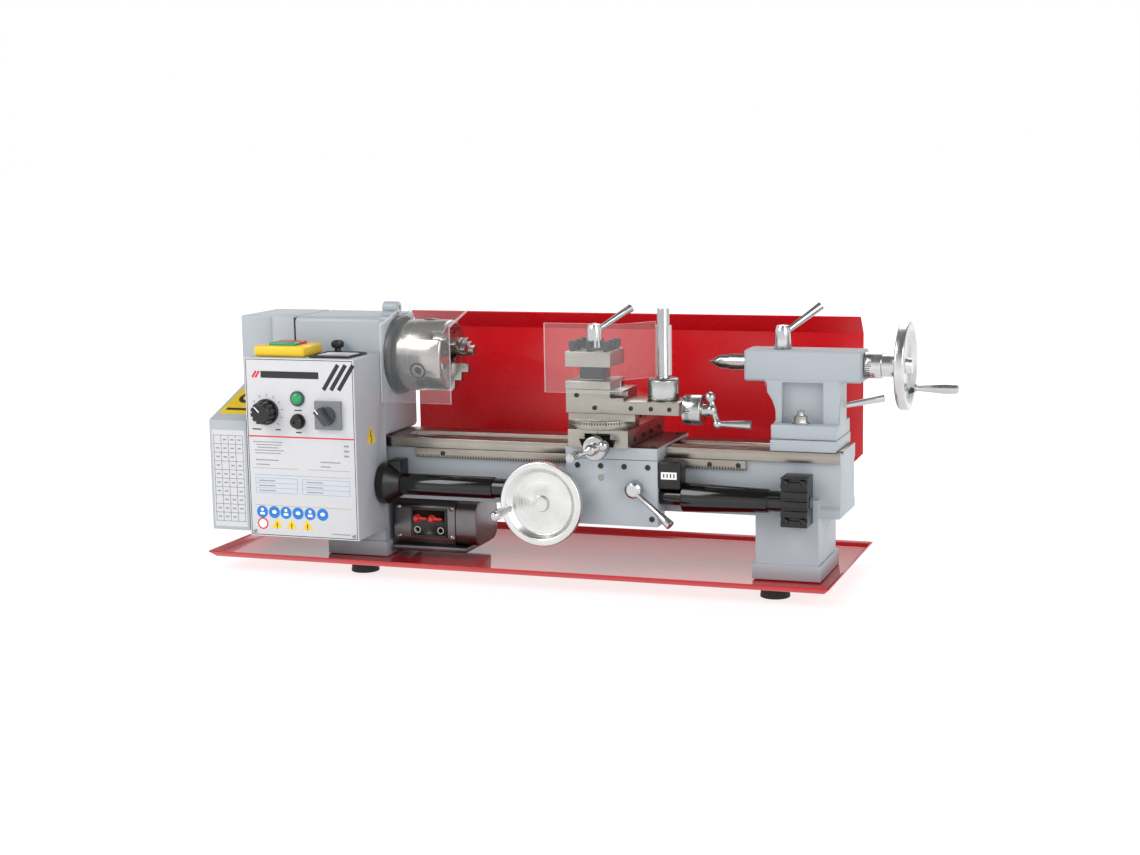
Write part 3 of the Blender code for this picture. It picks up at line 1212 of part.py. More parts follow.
def make_cross_screw():
    """The cross-feed screw, its dial and its ball crank."""
    z = BED_TOP + CROSS_SCREW_RISE
    at = Vector((CROSS_SCREW_X, SADDLE_FRONT - 8 * MM - GAP, z))
    add_body("cross_screw", at, "carriage")
    crank(
        "cross_screw", at, Vector((0, -1, 0)), "-Y", 13 * MM, 14 * MM, Vector((1, 0, 0.35)).normalized(), 92 * MM, 22 * MM,
        thread_start=14 * MM, journal=3.6 * MM, thread=3 * MM,
    )


def crank(name, at, out, towards, radius, length, arm_way, screw_length, handle_length, thread_start, journal, thread):
    """A feed screw in one piece with its dial, hub, two balls and handle. Arm way points from the low ball to the top one."""
    screw = turned(
        name, at, towards,
        [
            (-screw_length, 0), (-screw_length, thread), (-thread_start, thread), (-thread_start, journal), (0, journal),
            (0, radius), (length - 1 * MM, radius), (length, radius - 1 * MM), (length, 6.5 * MM), (length + 10 * MM, 5.5 * MM),
            (length + 10 * MM, 0),
        ],
        28,
    )
    middle = at + out * (length + 9 * MM)
    top = middle + arm_way * 13.5 * MM - out * 2 * MM
    low = middle - arm_way * 14 * MM + out * 7 * MM
    join(
        screw, ball(name + "_hub", middle, 6.5 * MM, True), rod_between(name + "_arm", low, top, 3.2 * MM, helper=True),
        ball(name + "_top", top, 6 * MM, True), ball(name + "_low", low, 5 * MM, True),
        rod_between(name + "_grip", low, low + out * handle_length, 2.8 * MM, 4.8 * MM, helper=True),
    )
    dress(screw, name, "aluminium", True)


def make_compound():
    """The swivelling base of the top slide."""
    add_body("compound", COMPOUND_AT, "cross_slide")
    disc = rod("compound_base", COMPOUND_AT, "+Z", SWIVEL_THICK, SWIVEL_RADIUS, 48)
    way = block(
        "compound_way", (TOP_LEFT + 2 * MM, COMPOUND_Y - TOP_HALF + 2 * MM, SWIVEL_LOW + SWIVEL_THICK - 1 * MM),
        (300 * MM, COMPOUND_Y + TOP_HALF - 2 * MM, SWIVEL_HIGH),
    )
    ridge_high = SWIVEL_HIGH + 7 * MM
    ridge = block("compound_ridge", (TOP_LEFT + 4 * MM, COMPOUND_Y - 12 * MM, SWIVEL_HIGH - 1 * MM), (298 * MM, COMPOUND_Y + 12 * MM, ridge_high))
    groove = block(
        "compound_groove", (TOP_LEFT - 4 * MM, COMPOUND_Y - 5.5 * MM, SWIVEL_HIGH - 5 * MM), (310 * MM, COMPOUND_Y + 5.5 * MM, ridge_high + 1 * MM)
    )
    dress(cut(join(disc, way, ridge), groove), "compound", "ground_steel", True)


def make_top_slide():
    """The top slide: low on the right, high under the toolpost, with the stud that the toolpost turns on."""
    add_body("top_slide", (TOP_LEFT, COMPOUND_Y, SLIDE_LOW), "compound")
    front, back = COMPOUND_Y - TOP_HALF, COMPOUND_Y + TOP_HALF
    slide = box("top_slide", (TOP_LEFT, front, SLIDE_LOW), (TOP_RIGHT, back, SLIDE_LOW + TOP_LOW))
    high = block("top_high", (TOP_LEFT, front, SLIDE_LOW + 1 * MM), (TOP_STEP, back, SLIDE_LOW + TOP_HIGH))
    slot = block(
        "top_slot", (TOP_LEFT - 1 * MM, COMPOUND_Y - 12 * MM - GAP, SLIDE_LOW - 1 * MM),
        (TOP_RIGHT - 12 * MM, COMPOUND_Y + 12 * MM + GAP, screw_height() + 4.6 * MM),
    )
    notch = block(
        "top_notch", (TOP_STEP - 15 * MM, front - 1 * MM, SLIDE_LOW + 17 * MM), (TOP_STEP + 1 * MM, front + 16 * MM, SLIDE_LOW + 23 * MM)
    )
    stud = rod("post_stud", (POST_X, COMPOUND_Y, SLIDE_LOW + TOP_HIGH - 3 * MM), "+Z", 52 * MM, 5 * MM, 16, helper=True)
    hole = bore("top_screw_hole", (TOP_RIGHT - 20 * MM, COMPOUND_Y, screw_height()), "+X", 30 * MM, 4 * MM + CLEAR)
    cut(join(slide, high), slot, notch, hole)
    join(slide, stud)
    dress(slide, "top_slide", "ground_steel")


def screw_height():
    """The compound screw's axis, just above the base."""
    return SLIDE_LOW + 3.6 * MM


def make_compound_screw():
    """The compound screw, its dial and its ball crank."""
    at = Vector((TOP_RIGHT + GAP, COMPOUND_Y, screw_height()))
    add_body("compound_screw", at, "top_slide")
    crank(
        "compound_screw", at, Vector((1, 0, 0)), "+X", DIAL_RADIUS, 19.5 * MM, Vector((0, 0.2, 1)).normalized(), 70 * MM, 36 * MM,
        thread_start=14 * MM, journal=4 * MM, thread=4 * MM,
    )


def make_toolpost():
    """The four-way toolpost on its stud, and the lever that clamps it."""
    add_body("toolpost", POST_AT, "top_slide")
    half = POST_SIDE / 2
    total = POST_FLOOR + POST_SLOT + POST_HEAD
    post = box("toolpost", POST_AT + Vector((-half, -half, 0)), POST_AT + Vector((half, half, total)))
    low, high = POST_AT.z + POST_FLOOR, POST_AT.z + POST_FLOOR + POST_SLOT
    reach = half + 1 * MM
    for number, (x0, x1, y0, y1) in enumerate((
        (-reach, reach, -reach, -POST_NECK), (-reach, reach, POST_NECK, reach),
        (-reach, -POST_NECK, -reach, reach), (POST_NECK, reach, -reach, reach),
    )):
        cut(post, block(f"tool_slot_{number}", (POST_AT.x + x0, POST_AT.y + y0, low), (POST_AT.x + x1, POST_AT.y + y1, high)))
    cut(post, bore("post_bore", POST_AT - Vector((0, 0, 1 * MM)), "+Z", 60 * MM, 5 * MM + CLEAR))
    dress(post, "toolpost", "ground_steel")
    at = POST_AT + Vector((0, 0, total + GAP))
    add_body("toolpost_lever", at, "toolpost")
    boss = turned(
        "toolpost_lever", at, "+Z",
        [(0, 0), (0, 9 * MM), (3 * MM, 9.2 * MM), (20 * MM, 8 * MM), (26 * MM, 6.5 * MM), (28 * MM, 0)], 24,
    )
    start = at + Vector((3 * MM, 2 * MM, 20 * MM))
    end = at + Vector((32 * MM, 29 * MM, 42 * MM))
    arm = rod_between("post_arm", start, end, 3 * MM, 4.6 * MM, helper=True)
    room = bore("lever_bore", at - Vector((0, 0, 1 * MM)), "+Z", 20 * MM, 5 * MM + CLEAR)
    dress(cut(join(boss, arm), room), "toolpost_lever", "chrome", True)


def make_tool_guard():
    """The toolpost guard: a clamp base and post on the top slide, and a clear plate that swings on the post."""
    at = TOOL_GUARD_AT
    base = turned(
        "tool_guard_post", at, "+Z",
        [
            (0, 0), (0, 16 * MM), (1 * MM, 17 * MM), (21 * MM, 17 * MM), (23 * MM, 15 * MM), (23 * MM, 6.5 * MM), (96 * MM, 6.5 * MM),
            (96 * MM, 0),
        ],
        28,
    )
    dress(base, "top_slide", "aluminium", True)
    add_body("tool_guard_plate", at, "top_slide")
    half = GUARD_SHEET / 2
    left, bend, front = 206.5 * MM, 290 * MM, TOOL_GUARD_PLATE_Y
    sleeve = 8.8 * MM
    corner = (at.x - 8 * MM, at.y - 3 * MM)
    outline = [
        (left, front - half), (bend, front - half), (corner[0] + 1.4 * MM, corner[1] - 1.4 * MM), (corner[0], corner[1] + 1.4 * MM),
        (bend - half, front + half), (left, front + half),
    ]
    low, high = at.z + 24 * MM, at.z + 82.5 * MM
    plate_piece = plate("tool_guard_plate", outline, "Z", low, high)
    ring = turned(
        "guard_sleeve", (at.x, at.y, low + 2 * MM), "+Z",
        [(0, 6.9 * MM), (0, sleeve), (52 * MM, sleeve), (52 * MM, 6.9 * MM), (0, 6.9 * MM)], 20, helper=True,
    )
    lower = block("guard_plate_drop", (left, front - half, at.z + 9.5 * MM), (bend, front + half, low + 1 * MM))
    dress(join(plate_piece, ring, lower), "tool_guard_plate", "clear_plastic")


# ---------------------------------------------------------------- tailstock


def make_tail_base():
    """The tailstock base on the ways, and the plate that clamps it from below."""
    low = BED_TOP + GAP
    base = box("tailstock_base", (TAIL_LEFT, -BED_WIDTH / 2 + 0.5 * MM, low), (TAIL_RIGHT, BED_WIDTH / 2 - 0.5 * MM, BED_TOP + TAIL_BASE))
    middle = (TAIL_LEFT + TAIL_RIGHT) / 2
    hole = bore("stud_way", (middle, 0, low - 5 * MM), "+Z", 30 * MM, 5 * MM + GAP)
    dress(cut(base, hole), "tailstock", "grey_paint")
    under = BED_TOP - WAY_THICK - 2 * GAP
    clamp = box("tail_clamp_plate", (middle - 18 * MM, -24 * MM, under - 8 * MM), (middle + 18 * MM, 24 * MM, under))
    stud = rod("clamp_stud", (middle, 0, under - 2 * MM), "+Z", BED_TOP + 20 * MM - under, 5 * MM, 16, helper=True)
    dress(join(clamp, stud), "tailstock", "dark_casting")


def make_tail_body():
    """The tailstock body: a long barrel block on a column with a window, over a wide foot."""
    low, step = BED_TOP + TAIL_BASE + GAP, BED_TOP + TAIL_STEP
    under = AXIS_Z - BARREL_DOWN
    arch_end = BARREL_LEFT + 23 * MM
    side = (
        [(TAIL_RIGHT, step - 1 * MM), (TAIL_RIGHT, under + 1 * MM), (arch_end, under + 1 * MM), (arch_end, under)]
        + [(arch_end + 1 * MM, under - 3 * MM)]
        + arc((arch_end - 30 * MM, under - 38 * MM), 41 * MM, 40, 10, 5)
        + [(TAIL_LEFT + 1 * MM, step - 1 * MM)]
    )
    body = plate("tailstock_body", side, "Y", -COLUMN_HALF, COLUMN_HALF)
    foot = block("tail_foot", (TAIL_LEFT, -BED_WIDTH / 2 + 4 * MM, low), (TAIL_RIGHT, BED_WIDTH / 2 - 4 * MM, step))
    barrel = box(
        "tail_barrel", (BARREL_LEFT, -BARREL_HALF - 0.5 * MM, under), (BARREL_RIGHT, BARREL_HALF + 0.5 * MM, AXIS_Z + BARREL_UP),
        helper=True, round_edges=2 * MM,
    )
    window = block("tail_window", (445 * MM, -COLUMN_HALF - 1 * MM, step - 2 * MM), (488 * MM, -COLUMN_HALF + 10 * MM, under - 1 * MM))
    window_back = block("tail_window_back", (445 * MM, COLUMN_HALF - 10 * MM, step - 2 * MM), (488 * MM, COLUMN_HALF + 1 * MM, under - 1 * MM))
    quill_bore = bore("quill_bore", (BARREL_LEFT - 1 * MM, 0, AXIS_Z), "+X", BARREL_RIGHT - BARREL_LEFT + 2 * MM, QUILL_RADIUS + CLEAR, 28)
    stud_room = bore("stud_room", ((TAIL_LEFT + TAIL_RIGHT) / 2, 0, low - 1 * MM), "+Z", 12 * MM, 7 * MM)
    lever_hole = bore("cam_hole", (clamp_lever_at().x, COLUMN_HALF + 2 * MM, clamp_lever_at().z), "-Y", 18 * MM, 5 * MM + CLEAR)
    lock_hole = bore("lock_hole", (QUILL_LEVER_X, 0, AXIS_Z + BARREL_UP - 8 * MM), "+Z", 12 * MM, 4 * MM + CLEAR)
    cut(join(body, foot, barrel), window, window_back, quill_bore, stud_room, lever_hole, lock_hole)
    dress(body, "tailstock", "grey_paint")


def clamp_lever_at():
    """The clamp lever's axis, across the back of the column."""
    return Vector((496 * MM, COLUMN_HALF + GAP, BED_TOP + 40 * MM))


def make_quill():
    """The quill with its dead centre, and the handwheel with the screw that drives it."""
    add_body("quill", (BARREL_LEFT, 0, AXIS_Z), "tailstock")
    start = BARREL_LEFT + 1 * MM
    length = 92 * MM
    taper_deep = 62 * MM
    shank = CENTRE_RADIUS
    quill = turned(
        "quill", (start, 0, AXIS_Z), "+X",
        [
            (0, shank - 1 * MM), (0, QUILL_RADIUS), (length, QUILL_RADIUS), (length, 5 * MM + GAP),
            (taper_deep, 5 * MM + GAP), (taper_deep, shank - 3 * MM), (0, shank - 1 * MM),
        ],
        28,
    )
    cone = shank / math.tan(math.radians(30))
    centre = turned(
        "dead_centre", (CENTRE_TIP, 0, AXIS_Z), "+X",
        [
            (0, 0), (0.4 * MM, 0.35 * MM), (cone - 2 * MM, shank - 1.3 * MM), (cone + 8 * MM, shank - 1.3 * MM), (cone + 8 * MM, shank),
            (start - CENTRE_TIP, shank), (start - CENTRE_TIP + 52 * MM, shank - 1.5 * MM), (start - CENTRE_TIP + 52 * MM, 0),
        ],
        24, helper=True,
    )
    dress(join(quill, centre), "quill", "ground_steel", True)
    at = Vector((BARREL_RIGHT + GAP, 0, AXIS_Z))
    add_body("tail_handwheel", at, "tailstock")
    left, right, rim = TAIL_WHEEL_LEFT - at.x, TAIL_WHEEL_RIGHT - at.x, TAIL_WHEEL_RADIUS
    wheel = turned(
        "tail_handwheel", at, "+X",
        [
            (-72 * MM, 0), (-72 * MM, 5 * MM), (0, 5 * MM), (0, 14 * MM), (18 * MM, 14 * MM), (18 * MM, 12 * MM), (left, 12 * MM),
            (left + 3 * MM, rim - 14 * MM), (left, rim - 9 * MM), (left, rim - 1.5 * MM), (left + 1.5 * MM, rim),
            (right - 1.5 * MM, rim), (right, rim - 1.5 * MM), (right, rim - 7 * MM), (right - 5 * MM, rim - 12 * MM),
            (right - 4 * MM, 9 * MM), (right + 2 * MM, 8 * MM), (right + 2 * MM, 0),
        ],
        48,
    )
    dress(wheel, "tail_handwheel", "aluminium", True)
    angle = math.radians(-47)
    spot = Vector((TAIL_WHEEL_RIGHT + GAP, HANDLE_RING * math.cos(angle), AXIS_Z + HANDLE_RING * math.sin(angle)))
    add_body("tail_handle", spot, "tail_handwheel")
    handle("tail_handle", spot, "+X", TAIL_HANDLE_END - TAIL_WHEEL_RIGHT - GAP)


def make_tail_levers():
    """The quill lock lever on top and the clamp lever at the back."""
    at = Vector((QUILL_LEVER_X, 0, AXIS_Z + BARREL_UP + GAP))
    add_body("quill_lock_lever", at, "tailstock")
    boss = turned(
        "quill_lock_lever", at, "+Z",
        [
            (-3 * MM, 0), (-3 * MM, 4 * MM), (0, 4 * MM), (0, 9.3 * MM), (18 * MM, 8.4 * MM), (24 * MM, 6.5 * MM), (25 * MM, 0),
        ],
        24,
    )
    arm = rod_between("lock_arm", at + Vector((3 * MM, 2 * MM, 17 * MM)), at + Vector((37 * MM, 19 * MM, 44 * MM)), 3 * MM, 4.6 * MM, helper=True)
    dress(join(boss, arm), "quill_lock_lever", "chrome", True)
    at = clamp_lever_at()
    add_body("tail_clamp_lever", at, "tailstock")
    hub = turned("tail_clamp_lever", at, "+Y", [(-14 * MM, 0), (-14 * MM, 5 * MM), (0, 5 * MM), (0, 8 * MM), (10 * MM, 8 * MM), (10 * MM, 0)], 20)
    arm = rod_between("clamp_arm", at + Vector((4 * MM, 5 * MM, 1 * MM)), at + Vector((48 * MM, 12 * MM, 10 * MM)), 2.8 * MM, 4.2 * MM, helper=True)
    dress(join(hub, arm), "tail_clamp_lever", "chrome", True)


# ---------------------------------------------------------------- assembly


def centre_on_footprint():
    """Move the whole lathe so that its origin is under the middle of its box."""
    bpy.context.view_layer.update()
    graph = bpy.context.evaluated_depsgraph_get()
    corners = []
    for obj in parts.objects:
        if obj.type == "MESH":
            solid = obj.evaluated_get(graph)
            corners += [solid.matrix_world @ Vector(corner) for corner in solid.bound_box]
    low = [min(corner[i] for corner in corners) for i in range(3)]
    high = [max(corner[i] for corner in corners) for i in range(3)]
    root = bodies["bed"][0]
    root.location = (-(low[0] + high[0]) / 2, -(low[1] + high[1]) / 2, -low[2])


def main():
    clear_scene()
    add_body("bed")
    make_feet()
    make_tray()
    make_bed()
    make_splash_guard()
    make_rack()
    make_bearing_ring()
    make_gear_cover()
    make_control_box()
    make_controls()
    make_chuck_guard()
    make_spindle()
    make_chuck()
    gear_left, phase, idler, stud, pin = make_gear_train()
    make_headstock(make_gear_plate(idler, stud, pin))
    make_leadscrew(gear_left, phase)
    make_leadscrew_brackets()
    make_motor()
    make_belt()
    add_body("carriage", (SADDLE_LEFT, 0, BED_TOP), "bed")
    make_saddle()
    make_apron()
    make_apron_wheel()
    make_rack_pinion()
    make_half_nut()
    make_thread_dial()
    make_moving_covers()
    make_cross_slide()
    make_cross_screw()
    make_compound()
    make_top_slide()
    make_compound_screw()
    make_toolpost()
    make_tool_guard()
    add_body("tailstock", TAIL_AT, "bed")
    make_tail_base()
    make_tail_body()
    make_quill()
    make_tail_levers()
    centre_on_footprint()


main()
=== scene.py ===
"""A bench lathe for turning metal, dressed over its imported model.

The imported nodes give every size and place. Each sub-assembly is a class that keeps its own
sizes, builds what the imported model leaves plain, and dresses it. Lengths in the classes are
in millimetres from the lathe's datum: X from the headstock's right face, Y from the
spindle's axis and Z from the bench.
"""

import json
import logging
import math
from dataclasses import dataclass
from enum import Enum
from typing import Any, Callable, Iterable, Sequence

import bmesh
import bpy
from mathutils import Matrix, Vector

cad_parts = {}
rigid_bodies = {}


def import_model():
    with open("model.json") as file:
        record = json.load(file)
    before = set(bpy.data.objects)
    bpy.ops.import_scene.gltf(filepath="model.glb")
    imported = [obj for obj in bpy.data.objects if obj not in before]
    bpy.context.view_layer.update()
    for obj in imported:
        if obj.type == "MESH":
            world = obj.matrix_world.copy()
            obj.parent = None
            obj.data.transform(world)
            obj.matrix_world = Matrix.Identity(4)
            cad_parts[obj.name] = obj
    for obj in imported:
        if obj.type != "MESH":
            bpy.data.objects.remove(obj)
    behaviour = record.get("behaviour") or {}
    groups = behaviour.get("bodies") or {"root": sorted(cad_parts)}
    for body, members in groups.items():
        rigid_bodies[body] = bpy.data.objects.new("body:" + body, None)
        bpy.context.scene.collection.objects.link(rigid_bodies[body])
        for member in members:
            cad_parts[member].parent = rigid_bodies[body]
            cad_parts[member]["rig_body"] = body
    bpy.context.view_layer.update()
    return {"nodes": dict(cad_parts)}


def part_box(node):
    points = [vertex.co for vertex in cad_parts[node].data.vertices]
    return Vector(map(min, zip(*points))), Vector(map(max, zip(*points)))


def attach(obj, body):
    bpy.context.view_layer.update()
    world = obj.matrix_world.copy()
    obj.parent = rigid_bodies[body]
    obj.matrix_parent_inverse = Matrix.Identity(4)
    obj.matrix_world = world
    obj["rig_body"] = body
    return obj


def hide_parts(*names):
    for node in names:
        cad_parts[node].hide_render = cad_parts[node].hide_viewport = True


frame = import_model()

log = logging.getLogger("bench_lathe")
MM = 0.001
BED_LOW, BED_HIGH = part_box("bed_casting")
BED_RIGHT_END = 511.0
DATUM = Vector((BED_HIGH.x - BED_RIGHT_END * MM, (BED_LOW.y + BED_HIGH.y) / 2, 0.0))
SPINDLE_Z = 240.0
SCREW_Y, SCREW_Z = -58.5, 103.0
FRONT, BACK = Vector((0, -1, 0)), Vector((0, 1, 0))
RIGHT, LEFT = Vector((1, 0, 0)), Vector((-1, 0, 0))
UP = Vector((0, 0, 1))
Point = tuple[float, float, float]


class Slot(str, Enum):
    """The record's material slots."""

    GREY = "grey_paint"
    RED = "red_paint"
    PANEL = "white_panel"
    STEEL = "ground_steel"
    CHROME = "chrome"
    ALUMINIUM = "aluminium"
    BLACK = "black_plastic"
    RUBBER = "rubber"
    DARK = "dark_casting"
    YELLOW = "yellow_plastic"
    GREEN = "green_plastic"
    RED_PLASTIC = "red_plastic"
    CLEAR = "clear_plastic"


class Axis(Enum):
    """The axis that a part was turned about: the mask keeps the two other coordinates."""

    X = (0.0, 1.0, 1.0)
    Y = (1.0, 0.0, 1.0)
    Z = (1.0, 1.0, 0.0)


def pt(x: float, y: float, z: float) -> Vector:
    """A point of the lathe's datum, in millimetres, as a point of the row frame in metres."""
    return Vector((x, y, z)) * MM + DATUM


def linear(colour: str, gain: float = 1.0) -> tuple[float, float, float, float]:
    """Turns an sRGB hex value to a linear colour.

    Args:
        colour: the value, such as "#9CA2A8".
        gain: what the linear colour is multiplied by.

    Returns:
        The colour with its alpha, each part at most 1.
    """
    shares = [int(colour[i : i + 2], 16) / 255 for i in (1, 3, 5)]
    values = [s / 12.92 if s <= 0.04045 else ((s + 0.055) / 1.055) ** 2.4 for s in shares]
    red, green, blue = (min(1.0, value * gain) for value in values)
    return red, green, blue, 1.0


def add_node(
    tree: bpy.types.NodeTree, kind: str, links: dict[Any, Any] | None = None, **settings: Any
) -> bpy.types.Node:
    """Adds a shader node.

    Args:
        tree: the node tree it goes in.
        kind: the node's type name.
        links: for each input, the output that feeds it or the value it holds.
        settings: the node's own properties.

    Returns:
        The new node.
    """
    node = tree.nodes.new(kind)
    for key, value in settings.items():
        setattr(node, key, value)
    for key, value in (links or {}).items():
        if isinstance(value, bpy.types.NodeSocket):
            tree.links.new(value, node.inputs[key])
        else:
            node.inputs[key].default_value = value
    return node


# ---------------------------------------------------------------- finishes


@dataclass(frozen=True)
class Finish:
    """A surface finish, which makes its material the first time it is asked for."""

    name: str
    colour: str

    def material(self) -> bpy.types.Material:
        """The finish's material."""
        found = bpy.data.materials.get(self.name)
        if found is None:
            found = bpy.data.materials.new(self.name)
            found.use_nodes = True
            tree = found.node_tree
            tree.nodes.clear()
            place = add_node(tree, "ShaderNodeTexCoord").outputs["Object"]
            surface = add_node(tree, "ShaderNodeBsdfPrincipled", self.sockets(tree, place))
            add_node(tree, "ShaderNodeOutputMaterial", {"Surface": surface.outputs[0]})
        return found

    def sockets(self, tree: bpy.types.NodeTree, place: bpy.types.NodeSocket) -> dict[str, Any]:
        """What feeds the shader.

        Args:
            tree: the material's node tree.
            place: the point being shaded, in metres.

        Returns:
            The shader's inputs by name.
        """
        raise NotImplementedError


@dataclass(frozen=True)
class Enamel(Finish):
    """Two-part enamel sprayed on cast iron or sheet steel and stoved.

    It dries with a shallow orange peel, and its tone drifts a little with its thickness.
    """

    roughness: float = 0.34
    peel: float = 2.2
    depth: float = 0.045
    drift: float = 0.05

    def sockets(self, tree: bpy.types.NodeTree, place: bpy.types.NodeSocket) -> dict[str, Any]:
        """Tone drift over 60 mm, and orange peel ``peel`` mm across and ``depth`` mm deep."""
        cloud = add_node(
            tree, "ShaderNodeTexNoise", {"Vector": place, "Scale": 1 / (60 * MM), "Detail": 5.0}
        ).outputs[0]
        tone = add_node(
            tree,
            "ShaderNodeMix",
            {
                0: cloud,
                6: linear(self.colour, 1 - self.drift),
                7: linear(self.colour, 1 + self.drift),
            },
            data_type="RGBA",
        ).outputs[2]
        ripple = add_node(
            tree,
            "ShaderNodeTexNoise",
            {"Vector": place, "Scale": 1 / (self.peel * MM), "Detail": 2.0},
        ).outputs[0]
        gloss = add_node(
            tree,
            "ShaderNodeMapRange",
            {"Value": cloud, "To Min": self.roughness - 0.06, "To Max": self.roughness + 0.08},
        ).outputs[0]
        normal = add_node(
            tree, "ShaderNodeBump", {"Height": ripple, "Distance": self.depth * MM}
        ).outputs[0]
        return {"Base Color": tone, "Roughness": gloss, "Normal": normal, "IOR": 1.5}


@dataclass(frozen=True)
class GroundSteel(Finish):
    """Steel ground flat on a surface grinder: fine straight scratches along its travel.

    A grinder's grit leaves lines about 0.05 mm apart. They are drawn 0.6 mm apart, so that
    they show.
    """

    along: Axis = Axis.X
    roughness: float = 0.3
    scratch: float = 0.6
    metallic: float = 1.0

    def sockets(self, tree: bpy.types.NodeTree, place: bpy.types.NodeSocket) -> dict[str, Any]:
        """Scratches 40 mm long, with faint stains 25 mm across."""
        long, short = 1 / (40 * MM), 1 / (self.scratch * MM)
        scale = tuple(short if kept else long for kept in self.along.value)
        stretched = add_node(
            tree, "ShaderNodeMapping", {"Vector": place, "Scale": scale}
        ).outputs[0]
        scratches = add_node(
            tree, "ShaderNodeTexNoise", {"Vector": stretched, "Scale": 1.0, "Detail": 3.0}
        ).outputs[0]
        stain = add_node(
            tree, "ShaderNodeTexNoise", {"Vector": place, "Scale": 1 / (25 * MM), "Detail": 4.0}
        ).outputs[0]
        tone = add_node(
            tree,
            "ShaderNodeMix",
            {0: stain, 6: linear(self.colour, 0.8), 7: linear(self.colour, 1.12)},
            data_type="RGBA",
        ).outputs[2]
        dull = add_node(
            tree,
            "ShaderNodeMapRange",
            {
                "Value": scratches,
                "From Min": 0.3,
                "From Max": 0.7,
                "To Min": self.roughness - 0.09,
                "To Max": self.roughness + 0.12,
            },
        ).outputs[0]
        normal = add_node(
            tree, "ShaderNodeBump", {"Height": scratches, "Distance": 0.012 * MM}
        ).outputs[0]
        return {
            "Base Color": tone,
            "Metallic": self.metallic,
            "Roughness": dull,
            "Normal": normal,
        }


@dataclass(frozen=True)
class TurnedMetal(Finish):
    """Metal turned in a lathe and polished: fine rings about its own axis.

    The tool's feed leaves rings about 0.1 mm apart. They are drawn ``feed`` mm apart, so
    that they show.
    """

    axis: Axis = Axis.X
    centre: Point = (0.0, 0.0, 0.0)
    roughness: float = 0.22
    feed: float = 0.7
    ticks: int = 0
    tick_middle: float = 0.0
    tick_reach: float = 0.0

    def sockets(self, tree: bpy.types.NodeTree, place: bpy.types.NodeSocket) -> dict[str, Any]:
        """Rings by height along the axis and by radius, and a dial's engraved lines."""
        away = tuple(-value for value in pt(*self.centre))
        local = add_node(
            tree, "ShaderNodeMapping", {"Vector": place, "Location": away}
        ).outputs[0]
        across = add_node(
            tree,
            "ShaderNodeVectorMath",
            {0: local, 1: self.axis.value},
            operation="MULTIPLY",
        ).outputs[0]
        radius = add_node(
            tree, "ShaderNodeVectorMath", {0: across}, operation="LENGTH"
        ).outputs["Value"]
        parts = add_node(tree, "ShaderNodeSeparateXYZ", {0: local}).outputs
        height = parts[self.axis.value.index(0.0)]
        rings = add_node(tree, "ShaderNodeCombineXYZ", {0: height, 1: radius}).outputs[0]
        grooves = add_node(
            tree,
            "ShaderNodeTexNoise",
            {"Vector": rings, "Scale": 1 / (self.feed * MM), "Detail": 3.0},
        ).outputs[0]
        stain = add_node(
            tree, "ShaderNodeTexNoise", {"Vector": place, "Scale": 1 / (18 * MM), "Detail": 4.0}
        ).outputs[0]
        tone = add_node(
            tree,
            "ShaderNodeMix",
            {0: stain, 6: linear(self.colour, 0.86), 7: linear(self.colour, 1.1)},
            data_type="RGBA",
        ).outputs[2]
        dull = add_node(
            tree,
            "ShaderNodeMapRange",
            {
                "Value": grooves,
                "From Min": 0.3,
                "From Max": 0.7,
                "To Min": self.roughness - 0.08,
                "To Max": self.roughness + 0.1,
            },
        ).outputs[0]
        normal = add_node(
            tree, "ShaderNodeBump", {"Height": grooves, "Distance": 0.006 * MM}
        ).outputs[0]
        if self.ticks:
            tone = self.engraved(tree, parts, height, tone)
        way = tuple(1.0 - kept for kept in self.axis.value)
        round_it = add_node(
            tree,
            "ShaderNodeVectorMath",
            {0: way, 1: across},
            operation="CROSS_PRODUCT",
        ).outputs[0]
        grain = add_node(
            tree, "ShaderNodeVectorMath", {0: round_it}, operation="NORMALIZE"
        ).outputs[0]
        return {
            "Base Color": tone,
            "Metallic": 1.0,
            "Roughness": dull,
            "Normal": normal,
            "Anisotropic": 0.7,
            "Tangent": grain,
        }

    def engraved(
        self,
        tree: bpy.types.NodeTree,
        parts: Sequence[bpy.types.NodeSocket],
        height: bpy.types.NodeSocket,
        tone: bpy.types.NodeSocket,
    ) -> bpy.types.NodeSocket:
        """Fills a dial's lines with black.

        Args:
            tree: the material's node tree.
            parts: the point's three coordinates about the centre.
            height: the one of them along the axis.
            tone: the metal's colour.

        Returns:
            The colour with the lines on it: every fifth one is longer.
        """
        first, second = [parts[i] for i, kept in enumerate(self.axis.value) if kept]
        angle = add_node(
            tree, "ShaderNodeMath", {0: first, 1: second}, operation="ARCTAN2"
        ).outputs[0]
        for share, reach, width in ((1, 0.6, 0.36), (5, 1.0, 0.08)):
            turns = add_node(
                tree,
                "ShaderNodeMath",
                {0: angle, 1: self.ticks / share / math.tau},
                operation="MULTIPLY",
            ).outputs[0]
            part = add_node(tree, "ShaderNodeMath", {0: turns}, operation="FRACT").outputs[0]
            line = add_node(
                tree, "ShaderNodeMath", {0: part, 1: width}, operation="LESS_THAN"
            ).outputs[0]
            band = add_node(
                tree,
                "ShaderNodeMath",
                {0: height, 1: self.tick_middle * MM, 2: self.tick_reach * reach * MM},
                operation="COMPARE",
            ).outputs[0]
            mark = add_node(
                tree, "ShaderNodeMath", {0: line, 1: band}, operation="MULTIPLY"
            ).outputs[0]
            tone = add_node(
                tree,
                "ShaderNodeMix",
                {0: mark, 6: tone, 7: linear("#1B1B1C")},
                data_type="RGBA",
            ).outputs[2]
        return tone


